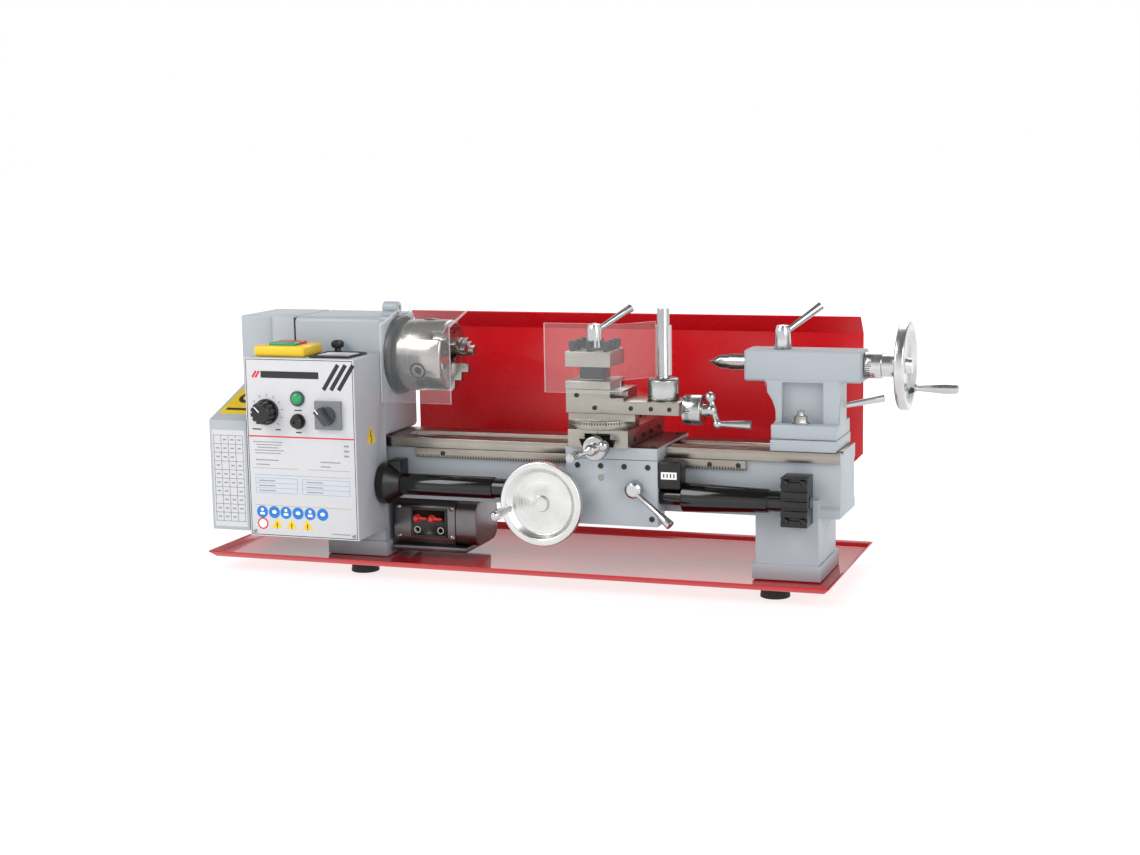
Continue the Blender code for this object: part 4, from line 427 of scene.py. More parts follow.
@dataclass(frozen=True)
class PlatedSteel(Finish):
    """Steel bar polished and chromium plated: bright, with fine handling marks."""

    roughness: float = 0.14

    def sockets(self, tree: bpy.types.NodeTree, place: bpy.types.NodeSocket) -> dict[str, Any]:
        """Smears 8 mm across that dull the plating here and there."""
        smear = add_node(
            tree, "ShaderNodeTexNoise", {"Vector": place, "Scale": 1 / (8 * MM), "Detail": 5.0}
        ).outputs[0]
        tone = add_node(
            tree,
            "ShaderNodeMix",
            {0: smear, 6: linear(self.colour, 0.9), 7: linear(self.colour, 1.05)},
            data_type="RGBA",
        ).outputs[2]
        dull = add_node(
            tree,
            "ShaderNodeMapRange",
            {"Value": smear, "To Min": self.roughness - 0.06, "To Max": self.roughness + 0.12},
        ).outputs[0]
        return {"Base Color": tone, "Metallic": 1.0, "Roughness": dull}


@dataclass(frozen=True)
class CastMetal(Finish):
    """Metal as it comes from the mould, or chemically blacked: a fine sandy grain."""

    metallic: float = 1.0
    roughness: float = 0.45
    grain: float = 0.9
    depth: float = 0.05

    def sockets(self, tree: bpy.types.NodeTree, place: bpy.types.NodeSocket) -> dict[str, Any]:
        """Sand grain ``grain`` mm across and ``depth`` mm deep."""
        sand = add_node(
            tree,
            "ShaderNodeTexNoise",
            {"Vector": place, "Scale": 1 / (self.grain * MM), "Detail": 3.0},
        ).outputs[0]
        patch = add_node(
            tree, "ShaderNodeTexNoise", {"Vector": place, "Scale": 1 / (22 * MM), "Detail": 4.0}
        ).outputs[0]
        tone = add_node(
            tree,
            "ShaderNodeMix",
            {0: patch, 6: linear(self.colour, 0.8), 7: linear(self.colour, 1.2)},
            data_type="RGBA",
        ).outputs[2]
        dull = add_node(
            tree,
            "ShaderNodeMapRange",
            {"Value": sand, "To Min": self.roughness - 0.1, "To Max": self.roughness + 0.1},
        ).outputs[0]
        normal = add_node(
            tree, "ShaderNodeBump", {"Height": sand, "Distance": self.depth * MM}
        ).outputs[0]
        return {
            "Base Color": tone,
            "Metallic": self.metallic,
            "Roughness": dull,
            "Normal": normal,
        }


@dataclass(frozen=True)
class MouldedPlastic(Finish):
    """ABS or polyamide from a spark-eroded mould, which leaves a fine leathery texture."""

    roughness: float = 0.38
    texture: float = 0.8
    coat: float = 0.0

    def sockets(self, tree: bpy.types.NodeTree, place: bpy.types.NodeSocket) -> dict[str, Any]:
        """Texture ``texture`` mm across, and a slight drift of the colour over 30 mm."""
        pits = add_node(
            tree,
            "ShaderNodeTexVoronoi",
            {"Vector": place, "Scale": 1 / (self.texture * MM)},
        ).outputs["Distance"]
        flow = add_node(
            tree, "ShaderNodeTexNoise", {"Vector": place, "Scale": 1 / (30 * MM), "Detail": 3.0}
        ).outputs[0]
        tone = add_node(
            tree,
            "ShaderNodeMix",
            {0: flow, 6: linear(self.colour, 0.9), 7: linear(self.colour, 1.1)},
            data_type="RGBA",
        ).outputs[2]
        dull = add_node(
            tree,
            "ShaderNodeMapRange",
            {"Value": flow, "To Min": self.roughness - 0.06, "To Max": self.roughness + 0.06},
        ).outputs[0]
        normal = add_node(
            tree, "ShaderNodeBump", {"Height": pits, "Distance": 0.015 * MM}
        ).outputs[0]
        return {
            "Base Color": tone,
            "Roughness": dull,
            "Normal": normal,
            "IOR": 1.5,
            "Coat Weight": self.coat,
            "Coat Roughness": 0.1,
        }


@dataclass(frozen=True)
class PrintedFoil(Finish):
    """Polyester foil, screen printed and laminated: flat, satin, and evenly coloured."""

    roughness: float = 0.32

    def sockets(self, tree: bpy.types.NodeTree, place: bpy.types.NodeSocket) -> dict[str, Any]:
        """The laminate's faint ripple 5 mm across, and the ink's slight unevenness."""
        ink = add_node(
            tree, "ShaderNodeTexNoise", {"Vector": place, "Scale": 1 / (5 * MM), "Detail": 3.0}
        ).outputs[0]
        tone = add_node(
            tree,
            "ShaderNodeMix",
            {0: ink, 6: linear(self.colour, 0.96), 7: linear(self.colour, 1.03)},
            data_type="RGBA",
        ).outputs[2]
        dull = add_node(
            tree,
            "ShaderNodeMapRange",
            {"Value": ink, "To Min": self.roughness - 0.05, "To Max": self.roughness + 0.05},
        ).outputs[0]
        normal = add_node(
            tree, "ShaderNodeBump", {"Height": ink, "Distance": 0.01 * MM}
        ).outputs[0]
        return {"Base Color": tone, "Roughness": dull, "Normal": normal, "IOR": 1.5}


@dataclass(frozen=True)
class ClearSheet(Finish):
    """Polycarbonate sheet, extruded and bent: it shows by its gloss and its cut edges."""

    alpha: float = 0.05
    roughness: float = 0.06

    def sockets(self, tree: bpy.types.NodeTree, place: bpy.types.NodeSocket) -> dict[str, Any]:
        """Wiping marks 12 mm across that dull the sheet a little."""
        wipe = add_node(
            tree, "ShaderNodeTexNoise", {"Vector": place, "Scale": 1 / (12 * MM), "Detail": 4.0}
        ).outputs[0]
        tone = add_node(
            tree,
            "ShaderNodeMix",
            {0: wipe, 6: linear(self.colour, 0.96), 7: linear(self.colour)},
            data_type="RGBA",
        ).outputs[2]
        dull = add_node(
            tree,
            "ShaderNodeMapRange",
            {"Value": wipe, "To Min": self.roughness, "To Max": self.roughness + 0.06},
        ).outputs[0]
        return {"Base Color": tone, "Roughness": dull, "Alpha": self.alpha, "IOR": 1.58}


@dataclass(frozen=True)
class PaperSweep(Finish):
    """White background paper, lit from behind so that it stays white to the horizon."""

    near: float = 0.55
    far: float = 1.3
    glow: tuple[float, float] = (0.8, 1.02)

    def sockets(self, tree: bpy.types.NodeTree, place: bpy.types.NodeSocket) -> dict[str, Any]:
        """Paper's faint mottle 3 mm across."""
        pulp = add_node(
            tree, "ShaderNodeTexNoise", {"Vector": place, "Scale": 1 / (3 * MM), "Detail": 2.0}
        ).outputs[0]
        tone = add_node(
            tree,
            "ShaderNodeMix",
            {0: pulp, 6: linear(self.colour, 0.96), 7: linear(self.colour)},
            data_type="RGBA",
        ).outputs[2]
        away = add_node(tree, "ShaderNodeVectorMath", {0: place}, operation="LENGTH").outputs[1]
        glow = add_node(
            tree,
            "ShaderNodeMapRange",
            {
                "Value": away,
                "From Min": self.near,
                "From Max": self.far,
                "To Min": self.glow[0],
                "To Max": self.glow[1],
            },
        ).outputs[0]
        return {
            "Base Color": tone,
            "Roughness": 0.7,
            "Emission Color": (1.0, 1.0, 1.0, 1.0),
            "Emission Strength": glow,
        }


# Castings and sheet: blue-grey and signal-red stoving enamel.
GREY_ENAMEL = Enamel("grey_enamel_on_castings", "#A4ABB1", roughness=0.36)
BOX_ENAMEL = Enamel("grey_enamel_on_sheet", "#A9AEB4", roughness=0.34, depth=0.02)
RED_ENAMEL = Enamel("red_enamel_on_sheet", "#CC0B18", roughness=0.26, depth=0.012, drift=0.03)
TRAY_ENAMEL = Enamel("red_enamel_on_tray", "#BE0A16", roughness=0.07, depth=0.003, drift=0.03)
# Slideways: cast iron and steel, ground, with a film of oil.
GROUND_WAYS = GroundSteel("ground_slideways", "#A39D94", roughness=0.26)
OILED_WAYS = GroundSteel("oiled_slideways", "#5F5B57", along=Axis.Y, roughness=0.4)
GROUND_FRONT = GroundSteel("ground_steel_slides", "#A8A49B", roughness=0.34)
RACK_STEEL = GroundSteel("milled_rack", "#A29C92", roughness=0.4, scratch=0.9)
JAW_STEEL = GroundSteel("hardened_jaws", "#A9A6A1", along=Axis.Z, roughness=0.24)
# Chromium plate on levers and balls.
CHROME = PlatedSteel("chromium_plate", "#C6C7C9", roughness=0.16)
SCREW_ZINC = PlatedSteel("bright_screws", "#A19F9B", roughness=0.24)
# Chemically blacked steel and iron.
BLACKED = CastMetal("blacked_steel", "#131315", metallic=0.0, roughness=0.4, depth=0.015)
BLACK_SCREW = CastMetal("blacked_screws", "#1A1A1C", metallic=0.0, roughness=0.36, depth=0.01)
DARK_IRON = CastMetal("dark_cast_iron", "#0B0B0C", metallic=0.0, roughness=0.34, depth=0.03)
# Die-cast aluminium of the motor.
DIE_CAST = CastMetal("die_cast_aluminium", "#787476", roughness=0.34, depth=0.04)
# Mouldings.
BLACK_KNOB = MouldedPlastic("black_moulding", "#101011", roughness=0.26)
BLACK_TUBE = MouldedPlastic("black_tube", "#060607", roughness=0.14, coat=0.2)
GREY_KNOB = MouldedPlastic("dark_grey_moulding", "#3D4045")
GREY_PLATE = MouldedPlastic("light_grey_moulding", "#75787D")
YELLOW_BODY = MouldedPlastic("yellow_moulding", "#E9C21F", coat=0.2)
GREEN_BUTTON = MouldedPlastic("green_moulding", "#1F8F55", coat=0.4)
RED_BUTTON = MouldedPlastic("red_moulding", "#C8241F", coat=0.4)
RUBBER = MouldedPlastic("moulded_rubber", "#151515", roughness=0.65, texture=1.2)
# Printed foils.
WHITE_FOIL = PrintedFoil("white_foil", "#C9C9CC")
INK_BLACK = PrintedFoil("black_ink", "#1A1A1C")
INK_GREY = PrintedFoil("grey_ink", "#8E9196")
INK_RED = PrintedFoil("red_ink", "#D2202A")
INK_BLUE = PrintedFoil("blue_ink", "#1673C4")
INK_SKY = PrintedFoil("pale_blue_ink", "#7DB2DA")
INK_YELLOW = PrintedFoil("yellow_ink", "#E8C413")
INK_WHITE = PrintedFoil("white_ink", "#F0F0F0")
# Clear guards: the cut edge carries the light that runs inside the sheet.
CLEAR = ClearSheet("clear_sheet", "#EEF2F5")
CLEAR_EDGE = ClearSheet("clear_sheet_edge", "#F4F7FA", alpha=0.6, roughness=0.12)


# ---------------------------------------------------------------- modelling tools


def only(obj: bpy.types.Object) -> bpy.types.Object:
    """Makes this object the only one selected, and the active one."""
    bpy.ops.object.select_all(action="DESELECT")
    obj.select_set(True)
    bpy.context.view_layer.objects.active = obj
    return obj


def select_faces(obj: bpy.types.Object, test: Callable[[bmesh.types.BMFace], bool]) -> int:
    """In edit mode, selects the faces that pass a test and nothing else.

    Args:
        obj: the object in edit mode.
        test: says whether a face is wanted.

    Returns:
        How many faces are selected.
    """
    bpy.ops.mesh.select_mode(type="FACE")
    bpy.ops.mesh.select_all(action="DESELECT")
    mesh = bmesh.from_edit_mesh(obj.data)
    mesh.normal_update()
    wanted = [face for face in mesh.faces if test(face)]
    for face in wanted:
        face.select_set(True)
    bmesh.update_edit_mesh(obj.data)
    return len(wanted)


def ease_edges(obj: bpy.types.Object, width: float, segments: int = 2, clamp: bool = True) -> None:
    """Rounds the sharp edges with an applied Bevel.

    Args:
        obj: the piece.
        width: the bevel's width, in millimetres.
        segments: how many faces round the edge.
        clamp: whether the width shrinks where faces are too small for it.
    """
    only(obj)
    modifier = obj.modifiers.new("Eased", "BEVEL")
    modifier.width = width * MM
    modifier.segments = segments
    modifier.limit_method = "ANGLE"
    modifier.angle_limit = math.radians(38)
    modifier.use_clamp_overlap = clamp
    bpy.ops.object.modifier_apply(modifier=modifier.name)


def smooth(obj: bpy.types.Object, angle: float = 32) -> None:
    """Shades smooth across edges flatter than this angle, in degrees."""
    only(obj)
    bpy.ops.object.shade_smooth_by_angle(angle=math.radians(angle))


def lathe(
    name: str,
    at: Vector,
    towards: Vector,
    profile: Sequence[tuple[float, float]],
    sides: int = 32,
    edge: float = 0.0,
) -> bpy.types.Object:
    """A turned shape, drawn out of a disc step by step.

    Args:
        name: the object's name.
        at: where the profile starts, in metres.
        towards: the axis's direction.
        profile: (distance along the axis, radius) in millimetres; it may turn back inwards.
        sides: how many sides the circle has.
        edge: the width of the bevel on its corners, in millimetres.

    Returns:
        The object, its place in its mesh.
    """
    bpy.ops.object.select_all(action="DESELECT")
    way = towards.normalized()
    turn = way.to_track_quat("Z", "Y").to_euler()
    start, radius = profile[0]
    bpy.ops.mesh.primitive_circle_add(
        vertices=sides,
        radius=radius * MM,
        fill_type="NGON",
        location=at + way * start * MM,
        rotation=turn,
    )
    obj = bpy.context.object
    obj.name = name
    bpy.ops.object.transform_apply(location=True, rotation=True, scale=True)
    bpy.ops.object.mode_set(mode="EDIT")
    bpy.ops.mesh.select_mode(type="FACE")
    bpy.ops.mesh.select_all(action="SELECT")
    for distance, new_radius in profile[1:]:
        bpy.ops.mesh.extrude_region_move(
            TRANSFORM_OT_translate={"value": way * (distance - start) * MM}
        )
        share = new_radius / radius
        bpy.ops.transform.resize(
            value=(share, share, share), center_override=at + way * distance * MM
        )
        start, radius = distance, new_radius
    bpy.ops.mesh.select_all(action="SELECT")
    bpy.ops.mesh.normals_make_consistent(inside=False)
    bpy.ops.object.mode_set(mode="OBJECT")
    if edge:
        ease_edges(obj, edge)
    smooth(obj)
    return obj


def block(name: str, low: Point, high: Point, edge: float = 0.6) -> bpy.types.Object:
    """A box between two corners, in millimetres from the datum, with its edges rounded."""
    bpy.ops.object.select_all(action="DESELECT")
    first, last = pt(*low), pt(*high)
    bpy.ops.mesh.primitive_cube_add(
        size=1, location=(first + last) / 2, scale=[abs(v) for v in last - first]
    )
    obj = bpy.context.object
    obj.name = name
    bpy.ops.object.transform_apply(location=True, rotation=True, scale=True)
    if edge:
        ease_edges(obj, edge)
    smooth(obj)
    return obj


def joined(name: str, pieces: Sequence[bpy.types.Object]) -> bpy.types.Object:
    """Joins pieces into one object with this name."""
    only(pieces[0])
    for piece in pieces:
        piece.select_set(True)
    if len(pieces) > 1:
        bpy.ops.object.join()
    pieces[0].name = name
    return pieces[0]


def place_copies(
    name: str, master: bpy.types.Object, places: Iterable[tuple[Vector, Vector]]
) -> bpy.types.Object:
    """Copies a model that was made at the origin along +Z, and joins the copies.

    Args:
        name: the joined object's name.
        master: the model, which is removed at the end.
        places: for each copy, its foot in metres and the way it points.

    Returns:
        The joined object.
    """
    copies = []
    for foot, way in places:
        copy = master.copy()
        copy.data = master.data.copy()
        bpy.context.scene.collection.objects.link(copy)
        turn = way.to_track_quat("Z", "Y").to_matrix().to_4x4()
        copy.data.transform(Matrix.Translation(foot) @ turn)
        copies.append(copy)
    bpy.data.objects.remove(master)
    return joined(name, copies)


def paint(
    obj: bpy.types.Object,
    finishes: Sequence[Finish],
    choose: Callable[[Vector, Vector], int] | None = None,
) -> None:
    """Gives a piece its finishes.

    Args:
        obj: the piece.
        finishes: the finishes, in the order of the material slots.
        choose: takes a face's middle, in millimetres from the datum, and its normal, and
            gives the number of its finish. Without it all faces take the first.
    """
    obj.data.materials.clear()
    for finish in finishes:
        obj.data.materials.append(finish.material())
    for face in obj.data.polygons:
        middle = (face.center - DATUM) / MM
        face.material_index = choose(middle, face.normal) if choose else 0


def fit(
    obj: bpy.types.Object, body: str, finishes: Sequence[Finish] | Finish
) -> bpy.types.Object:
    """Paints a new piece, lets it ride on its body, and reports it."""
    obj.data.name = obj.name
    if isinstance(finishes, Finish):
        paint(obj, [finishes])
    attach(obj, body)
    log.info("%s on %s: %d faces", obj.name, body, len(obj.data.polygons))
    return obj


def worked(
    node: str,
    finishes: Sequence[Finish] | Finish,
    edge: float = 0.6,
    choose: Callable[[Vector, Vector], int] | None = None,
    clamp: bool = False,
    angle: float = 32,
) -> bpy.types.Object:
    """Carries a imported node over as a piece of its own, merged, with its edges rounded.

    Args:
        node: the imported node's name.
        finishes: one finish or several.
        edge: the bevel's width in millimetres, or 0 for none.
        choose: which finish a face takes, as in ``paint``.
        clamp: whether the bevel shrinks where faces are too small for it.
        angle: edges flatter than this are shaded smooth.

    Returns:
        The piece, riding on the node's body in its place.
    """
    source = frame["nodes"][node]
    piece = source.copy()
    piece.data = source.data.copy()
    for key in list(piece.keys()):
        del piece[key]
    piece.parent = None
    piece.matrix_world = Matrix.Identity(4)
    piece.name = f"{node}_finished"
    bpy.context.scene.collection.objects.link(piece)
    only(piece)
    bpy.ops.object.mode_set(mode="EDIT")
    bpy.ops.mesh.select_all(action="SELECT")
    bpy.ops.mesh.remove_doubles(threshold=0.01 * MM)
    bpy.ops.mesh.dissolve_limited(angle_limit=math.radians(0.6))
    bpy.ops.mesh.select_all(action="SELECT")
    bpy.ops.mesh.normals_make_consistent(inside=False)
    bpy.ops.object.mode_set(mode="OBJECT")
    if piece.data.has_custom_normals:
        bpy.ops.mesh.customdata_custom_splitnormals_clear()
    if edge:
        ease_edges(piece, edge, clamp=clamp)
    smooth(piece, angle)
    paint(piece, [finishes] if isinstance(finishes, Finish) else finishes, choose)
    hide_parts(node)
    return fit(piece, source["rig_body"], ())


def socket_screw(radius: float, height: float, sides: int = 16) -> bpy.types.Object:
    """A socket-head screw at the origin: a head with a rounded rim and a deep socket."""
    rim = radius * 0.12
    return lathe(
        "screw",
        Vector((0, 0, 0)),
        UP,
        [
            (-0.5, radius),
            (height - rim, radius),
            (height, radius - rim),
            (height, radius * 0.58),
            (height * 0.35, radius * 0.5),
        ],
        sides,
    )


def pan_screw(radius: float, height: float) -> bpy.types.Object:
    """A pan-head screw at the origin, with a cross slot cut as a shallow dish."""
    return lathe(
        "screw",
        Vector((0, 0, 0)),
        UP,
        [
            (-0.3, radius),
            (height * 0.4, radius * 0.96),
            (height * 0.8, radius * 0.72),
            (height, radius * 0.38),
            (height * 0.45, radius * 0.14),
        ],
        16,
    )


@dataclass
class Marks:
    """Flat shapes printed on one face: built on the face and given a foil's thickness.

    ``origin`` is a point of the face, ``out`` points off it, and the shapes are placed by
    two coordinates of the datum: X and Z on a front, Y and Z on a side, X and Y on a top.
    """

    name: str
    level: float
    out: Vector
    thickness: float = 0.12

    def place(self, across: float, up: float) -> Vector:
        """The point of the face at two of the datum's coordinates."""
        if self.out == FRONT:
            return pt(across, self.level, up)
        if self.out in (LEFT, RIGHT):
            return pt(self.level, across, up)
        return pt(across, up, self.level)

    def turn(self) -> Matrix:
        """What turns a shape drawn flat, seen from above, to stand on the face."""
        if self.out == UP:
            return Matrix.Identity(4)
        upright = Matrix.Rotation(math.radians(90), 4, "X")
        if self.out == FRONT:
            return upright
        return Matrix.Rotation(math.radians(90 if self.out == RIGHT else -90), 4, "Z") @ upright

    def draw(
        self,
        label: str,
        body: str,
        finish: Finish,
        shapes: Sequence[tuple[int, float, float, float, float, float]],
    ) -> bpy.types.Object:
        """Draws shapes of one ink.

        Args:
            label: what is drawn, which ends the piece's name.
            body: the body it rides on.
            finish: the ink.
            shapes: (sides, across, up, width, height, turn in degrees) of each shape. Four
                sides make a rectangle of that width and height; others are inscribed.

        Returns:
            The piece.
        """
        drawn = []
        for sides, across, up, width, height, angle in shapes:
            bpy.ops.object.select_all(action="DESELECT")
            radius = math.sqrt(0.5) if sides == 4 else 0.5
            bpy.ops.mesh.primitive_circle_add(
                vertices=sides, radius=radius, fill_type="NGON", location=(0, 0, 0)
            )
            shape = bpy.context.object
            first = Matrix.Rotation(math.radians(45 if sides == 4 else 0), 4, "Z")
            size = Matrix.Diagonal((width * MM, height * MM, 1, 1))
            lean = Matrix.Rotation(math.radians(angle), 4, "Z")
            stand = Matrix.Translation(self.place(across, up)) @ self.turn()
            shape.data.transform(stand @ lean @ size @ first)
            drawn.append(shape)
        obj = joined(f"{self.name}_{label}", drawn)
        only(obj)
        bpy.ops.object.mode_set(mode="EDIT")
        bpy.ops.mesh.select_mode(type="FACE")
        bpy.ops.mesh.select_all(action="SELECT")
        bpy.ops.mesh.extrude_region_move(
            TRANSFORM_OT_translate={"value": self.out * self.thickness * MM}
        )
        bpy.ops.mesh.select_all(action="SELECT")
        bpy.ops.mesh.normals_make_consistent(inside=False)
        bpy.ops.object.mode_set(mode="OBJECT")
        return fit(obj, body, finish)


# ---------------------------------------------------------------- sub-assemblies


@dataclass
class TrayAndFeet:
    """The chip tray, pressed from sheet, on four rubber feet."""

    rim: float = 0.8

    def build(self) -> None:
        """Carries the tray and its feet over."""
        worked("chip_tray", TRAY_ENAMEL, edge=self.rim)
        for number in range(1, 5):
            worked(f"rubber_foot_{number}", RUBBER, edge=1.2)


@dataclass
class Bed:
    """The cast bed: enamelled sides, ground slideways, and the rack under its front edge."""

    ground_from: float = 140.6
    rack_screws: tuple[float, ...] = (67.0, 372.0, 403.0)
    rack_screw_z: float = 135.6
    module: float = 1.0
    tooth: float = 3.6
    gap: float = 2.3
    gap_taper: float = 0.45

    def build(self) -> None:
        """Carries the casting and the rack over, and adds the rack's teeth, a near-black strip behind them
        as painted shade in their gaps, and the screws.
        """
        worked(
            "bed_casting",
            (GREY_ENAMEL, GROUND_WAYS),
            edge=0.8,
            choose=lambda middle, normal: int(middle.z > self.ground_from),
        )
        rack = worked("rack", RACK_STEEL, edge=0.25)
        self.cut_teeth(rack)
        low, high = ((corner - pt(0, 0, 0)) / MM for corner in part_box("rack"))
        # A near-black strip just behind the teeth, in the dark-iron finish: painted shade that darkens the
        # gaps between the teeth.
        teeth_shade = block(
            "rack_teeth_shade",
            (low.x, high.y - 1.6, low.z),
            (high.x, high.y - 0.6, low.z + self.tooth),
            0,
        )
        fit(teeth_shade, "bed", DARK_IRON)
        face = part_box("rack")[0].y
        feet = [pt(x, 0, self.rack_screw_z) for x in self.rack_screws]
        for foot in feet:
            foot.y = face
        screws = place_copies("rack_screws", socket_screw(2.6, 1.4), [(f, FRONT) for f in feet])
        fit(screws, "bed", BLACK_SCREW)

    def cut_teeth(self, rack: bpy.types.Object) -> None:
        """Deepens the gaps between the rack's teeth, which are of module 1.

        Args:
            rack: the rack's piece.
        """
        low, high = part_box("rack")
        pitch, depth = self.module * math.pi * MM, self.tooth * MM
        bpy.ops.object.select_all(action="DESELECT")
        length = high.y - low.y + 4 * MM
        bpy.ops.mesh.primitive_cube_add(
            size=1,
            location=(low.x + pitch, (low.y + high.y) / 2, low.z),
            scale=(self.gap * MM, length, 2 * depth),
        )
        gap = bpy.context.object
        bpy.ops.object.transform_apply(location=True, rotation=True, scale=True)
        bpy.ops.object.mode_set(mode="EDIT")
        select_faces(gap, lambda face: face.normal.z > 0.9)
        bpy.ops.transform.resize(
            value=(self.gap_taper, 1, 1), center_override=(low.x + pitch, 0, low.z)
        )
        bpy.ops.object.mode_set(mode="OBJECT")
        row = gap.modifiers.new("Row", "ARRAY")
        row.count = int((high.x - low.x) / pitch) - 1
        row.use_relative_offset = False
        row.use_constant_offset = True
        row.constant_offset_displace = (pitch, 0, 0)
        only(gap)
        bpy.ops.object.modifier_apply(modifier=row.name)
        cut = rack.modifiers.new("Teeth", "BOOLEAN")
        cut.object = gap
        cut.operation = "DIFFERENCE"
        only(rack)
        bpy.ops.object.modifier_apply(modifier=cut.name)
        smooth(rack)
        bpy.data.objects.remove(gap)


@dataclass
class SplashGuard:
    """The red sheet-steel guard behind the bed, on two arms."""

    arms: tuple[float, ...] = (52.0, 452.0)
    back: float = 112.0
    screw_z: float = 131.5
    screw_apart: float = 8.0

    def build(self) -> None:
        """Carries the sheet over, and adds the screws that hold it."""
        worked("splash_guard", RED_ENAMEL, edge=0.35)
        places = [
            (pt(middle + side * self.screw_apart, self.back, self.screw_z), BACK)
            for middle in self.arms
            for side in (-1, 1)
        ]
        screws = place_copies("splash_guard_screws", pan_screw(3.4, 1.9), places)
        fit(screws, "bed", SCREW_ZINC)


@dataclass
class Headstock:
    """The headstock casting, its gear cover and the belt cover's labels."""

    cover_left: float = -178.0
    cover_front: float = -122.0
    body: str = "bed"

    def build(self) -> None:
        """Carries the castings and covers over, and adds labels and screws."""
        worked("headstock_casting", GREY_ENAMEL, edge=1.6)
        worked("gear_cover", BOX_ENAMEL, edge=1.2)
        worked("bearing_ring", DARK_IRON, edge=0.8)
        self.add_table()
        screws = [
            (pt(self.cover_left, y, z), LEFT) for y, z in ((-20.0, 262.0), (-20.0, 66.0), (-98.0, 80.0))
        ]
        fit(
            place_copies("gear_cover_screws", socket_screw(4.2, 3.2), screws),
            self.body,
            BLACK_SCREW,
        )

    def add_table(self) -> None:
        """The change-gear table on the cover's front: a white foil with a ruled grid."""
        marks = Marks("gear_table", self.cover_front, FRONT)
        middle, width = -154.5, 40.0
        marks.draw("foil", self.body, WHITE_FOIL, [(4, middle, 112, width, 108, 0)])
        over = Marks("gear_table", self.cover_front - 0.12, FRONT)
        rows = [(4, middle, 160 - 9.6 * i, width - 3, 0.7, 0) for i in range(11)]
        columns = [(4, middle - width / 2 + 2 + 9 * i, 112, 0.7, 96, 0) for i in range(5)]
        cells = [
            (4, middle - 13.5 + 9 * c, 155.2 - 9.6 * r, 4.2, 1.7, 0)
            for r in range(10)
            for c in range(4)
            if (r * 3 + c * 5) % 7
        ]
        over.draw("lines", self.body, INK_GREY, rows + columns + cells)
        SlopeSign(self.body).build()


@dataclass
class SlopeSign:
    """The yellow warning foil on the gear cover's slope: a black ring and a bar."""

    body: str = "bed"
    middle: float = -154.5
    foot: tuple[float, float] = (-122.0, 177.0)
    head: tuple[float, float] = (-40.0, 207.0)
    thickness: float = 0.12

    def build(self) -> None:
        """Lays the foil, then its black print, then the ring's yellow middle."""
        x = self.middle
        self.lay("foil", INK_YELLOW, [(4, x, 44.0, 38.0, 58.0)], 0)
        print_shapes = [(24, x, 54.0, 22.0, 26.0), (4, x, 26.0, 28.0, 5.0)]
        self.lay("black", INK_BLACK, print_shapes, 1)
        self.lay("middle", INK_YELLOW, [(24, x, 54.0, 12.0, 14.0)], 2)

    def lay(
        self,
        label: str,
        finish: Finish,
        shapes: Sequence[tuple[int, float, float, float, float]],
        layer: int,
    ) -> None:
        """Lays shapes of one ink on the slope.

        Args:
            label: what the piece is called after the sign's name.
            finish: the ink.
            shapes: each shape's sides, place across, place up the slope, width and height.
            layer: how many layers lie under this one.
        """
        slope = math.atan2(self.head[1] - self.foot[1], self.head[0] - self.foot[0])
        lean = Matrix.Rotation(slope, 4, "X")
        out = lean @ UP
        drawn = []
        for sides, across, up, width, height in shapes:
            bpy.ops.object.select_all(action="DESELECT")
            bpy.ops.mesh.primitive_circle_add(
                vertices=sides, radius=math.sqrt(0.5) if sides == 4 else 0.5, fill_type="NGON"
            )
            shape = bpy.context.object
            at = pt(
                across, self.foot[0] + up * math.cos(slope), self.foot[1] + up * math.sin(slope)
            )
            stand = Matrix.Translation(at + out * layer * self.thickness * MM) @ lean
            size = Matrix.Diagonal((width * MM, height * MM, 1, 1))
            first = Matrix.Rotation(math.radians(45 if sides == 4 else 0), 4, "Z")
            shape.data.transform(stand @ size @ first)
            drawn.append(shape)
        obj = only(joined(f"slope_sign_{label}", drawn))
        bpy.ops.object.mode_set(mode="EDIT")
        bpy.ops.mesh.select_all(action="SELECT")
        bpy.ops.mesh.extrude_region_move(
            TRANSFORM_OT_translate={"value": out * self.thickness * MM}
        )
        bpy.ops.mesh.select_all(action="SELECT")
        bpy.ops.mesh.normals_make_consistent(inside=False)
        bpy.ops.object.mode_set(mode="OBJECT")
        fit(obj, self.body, finish)


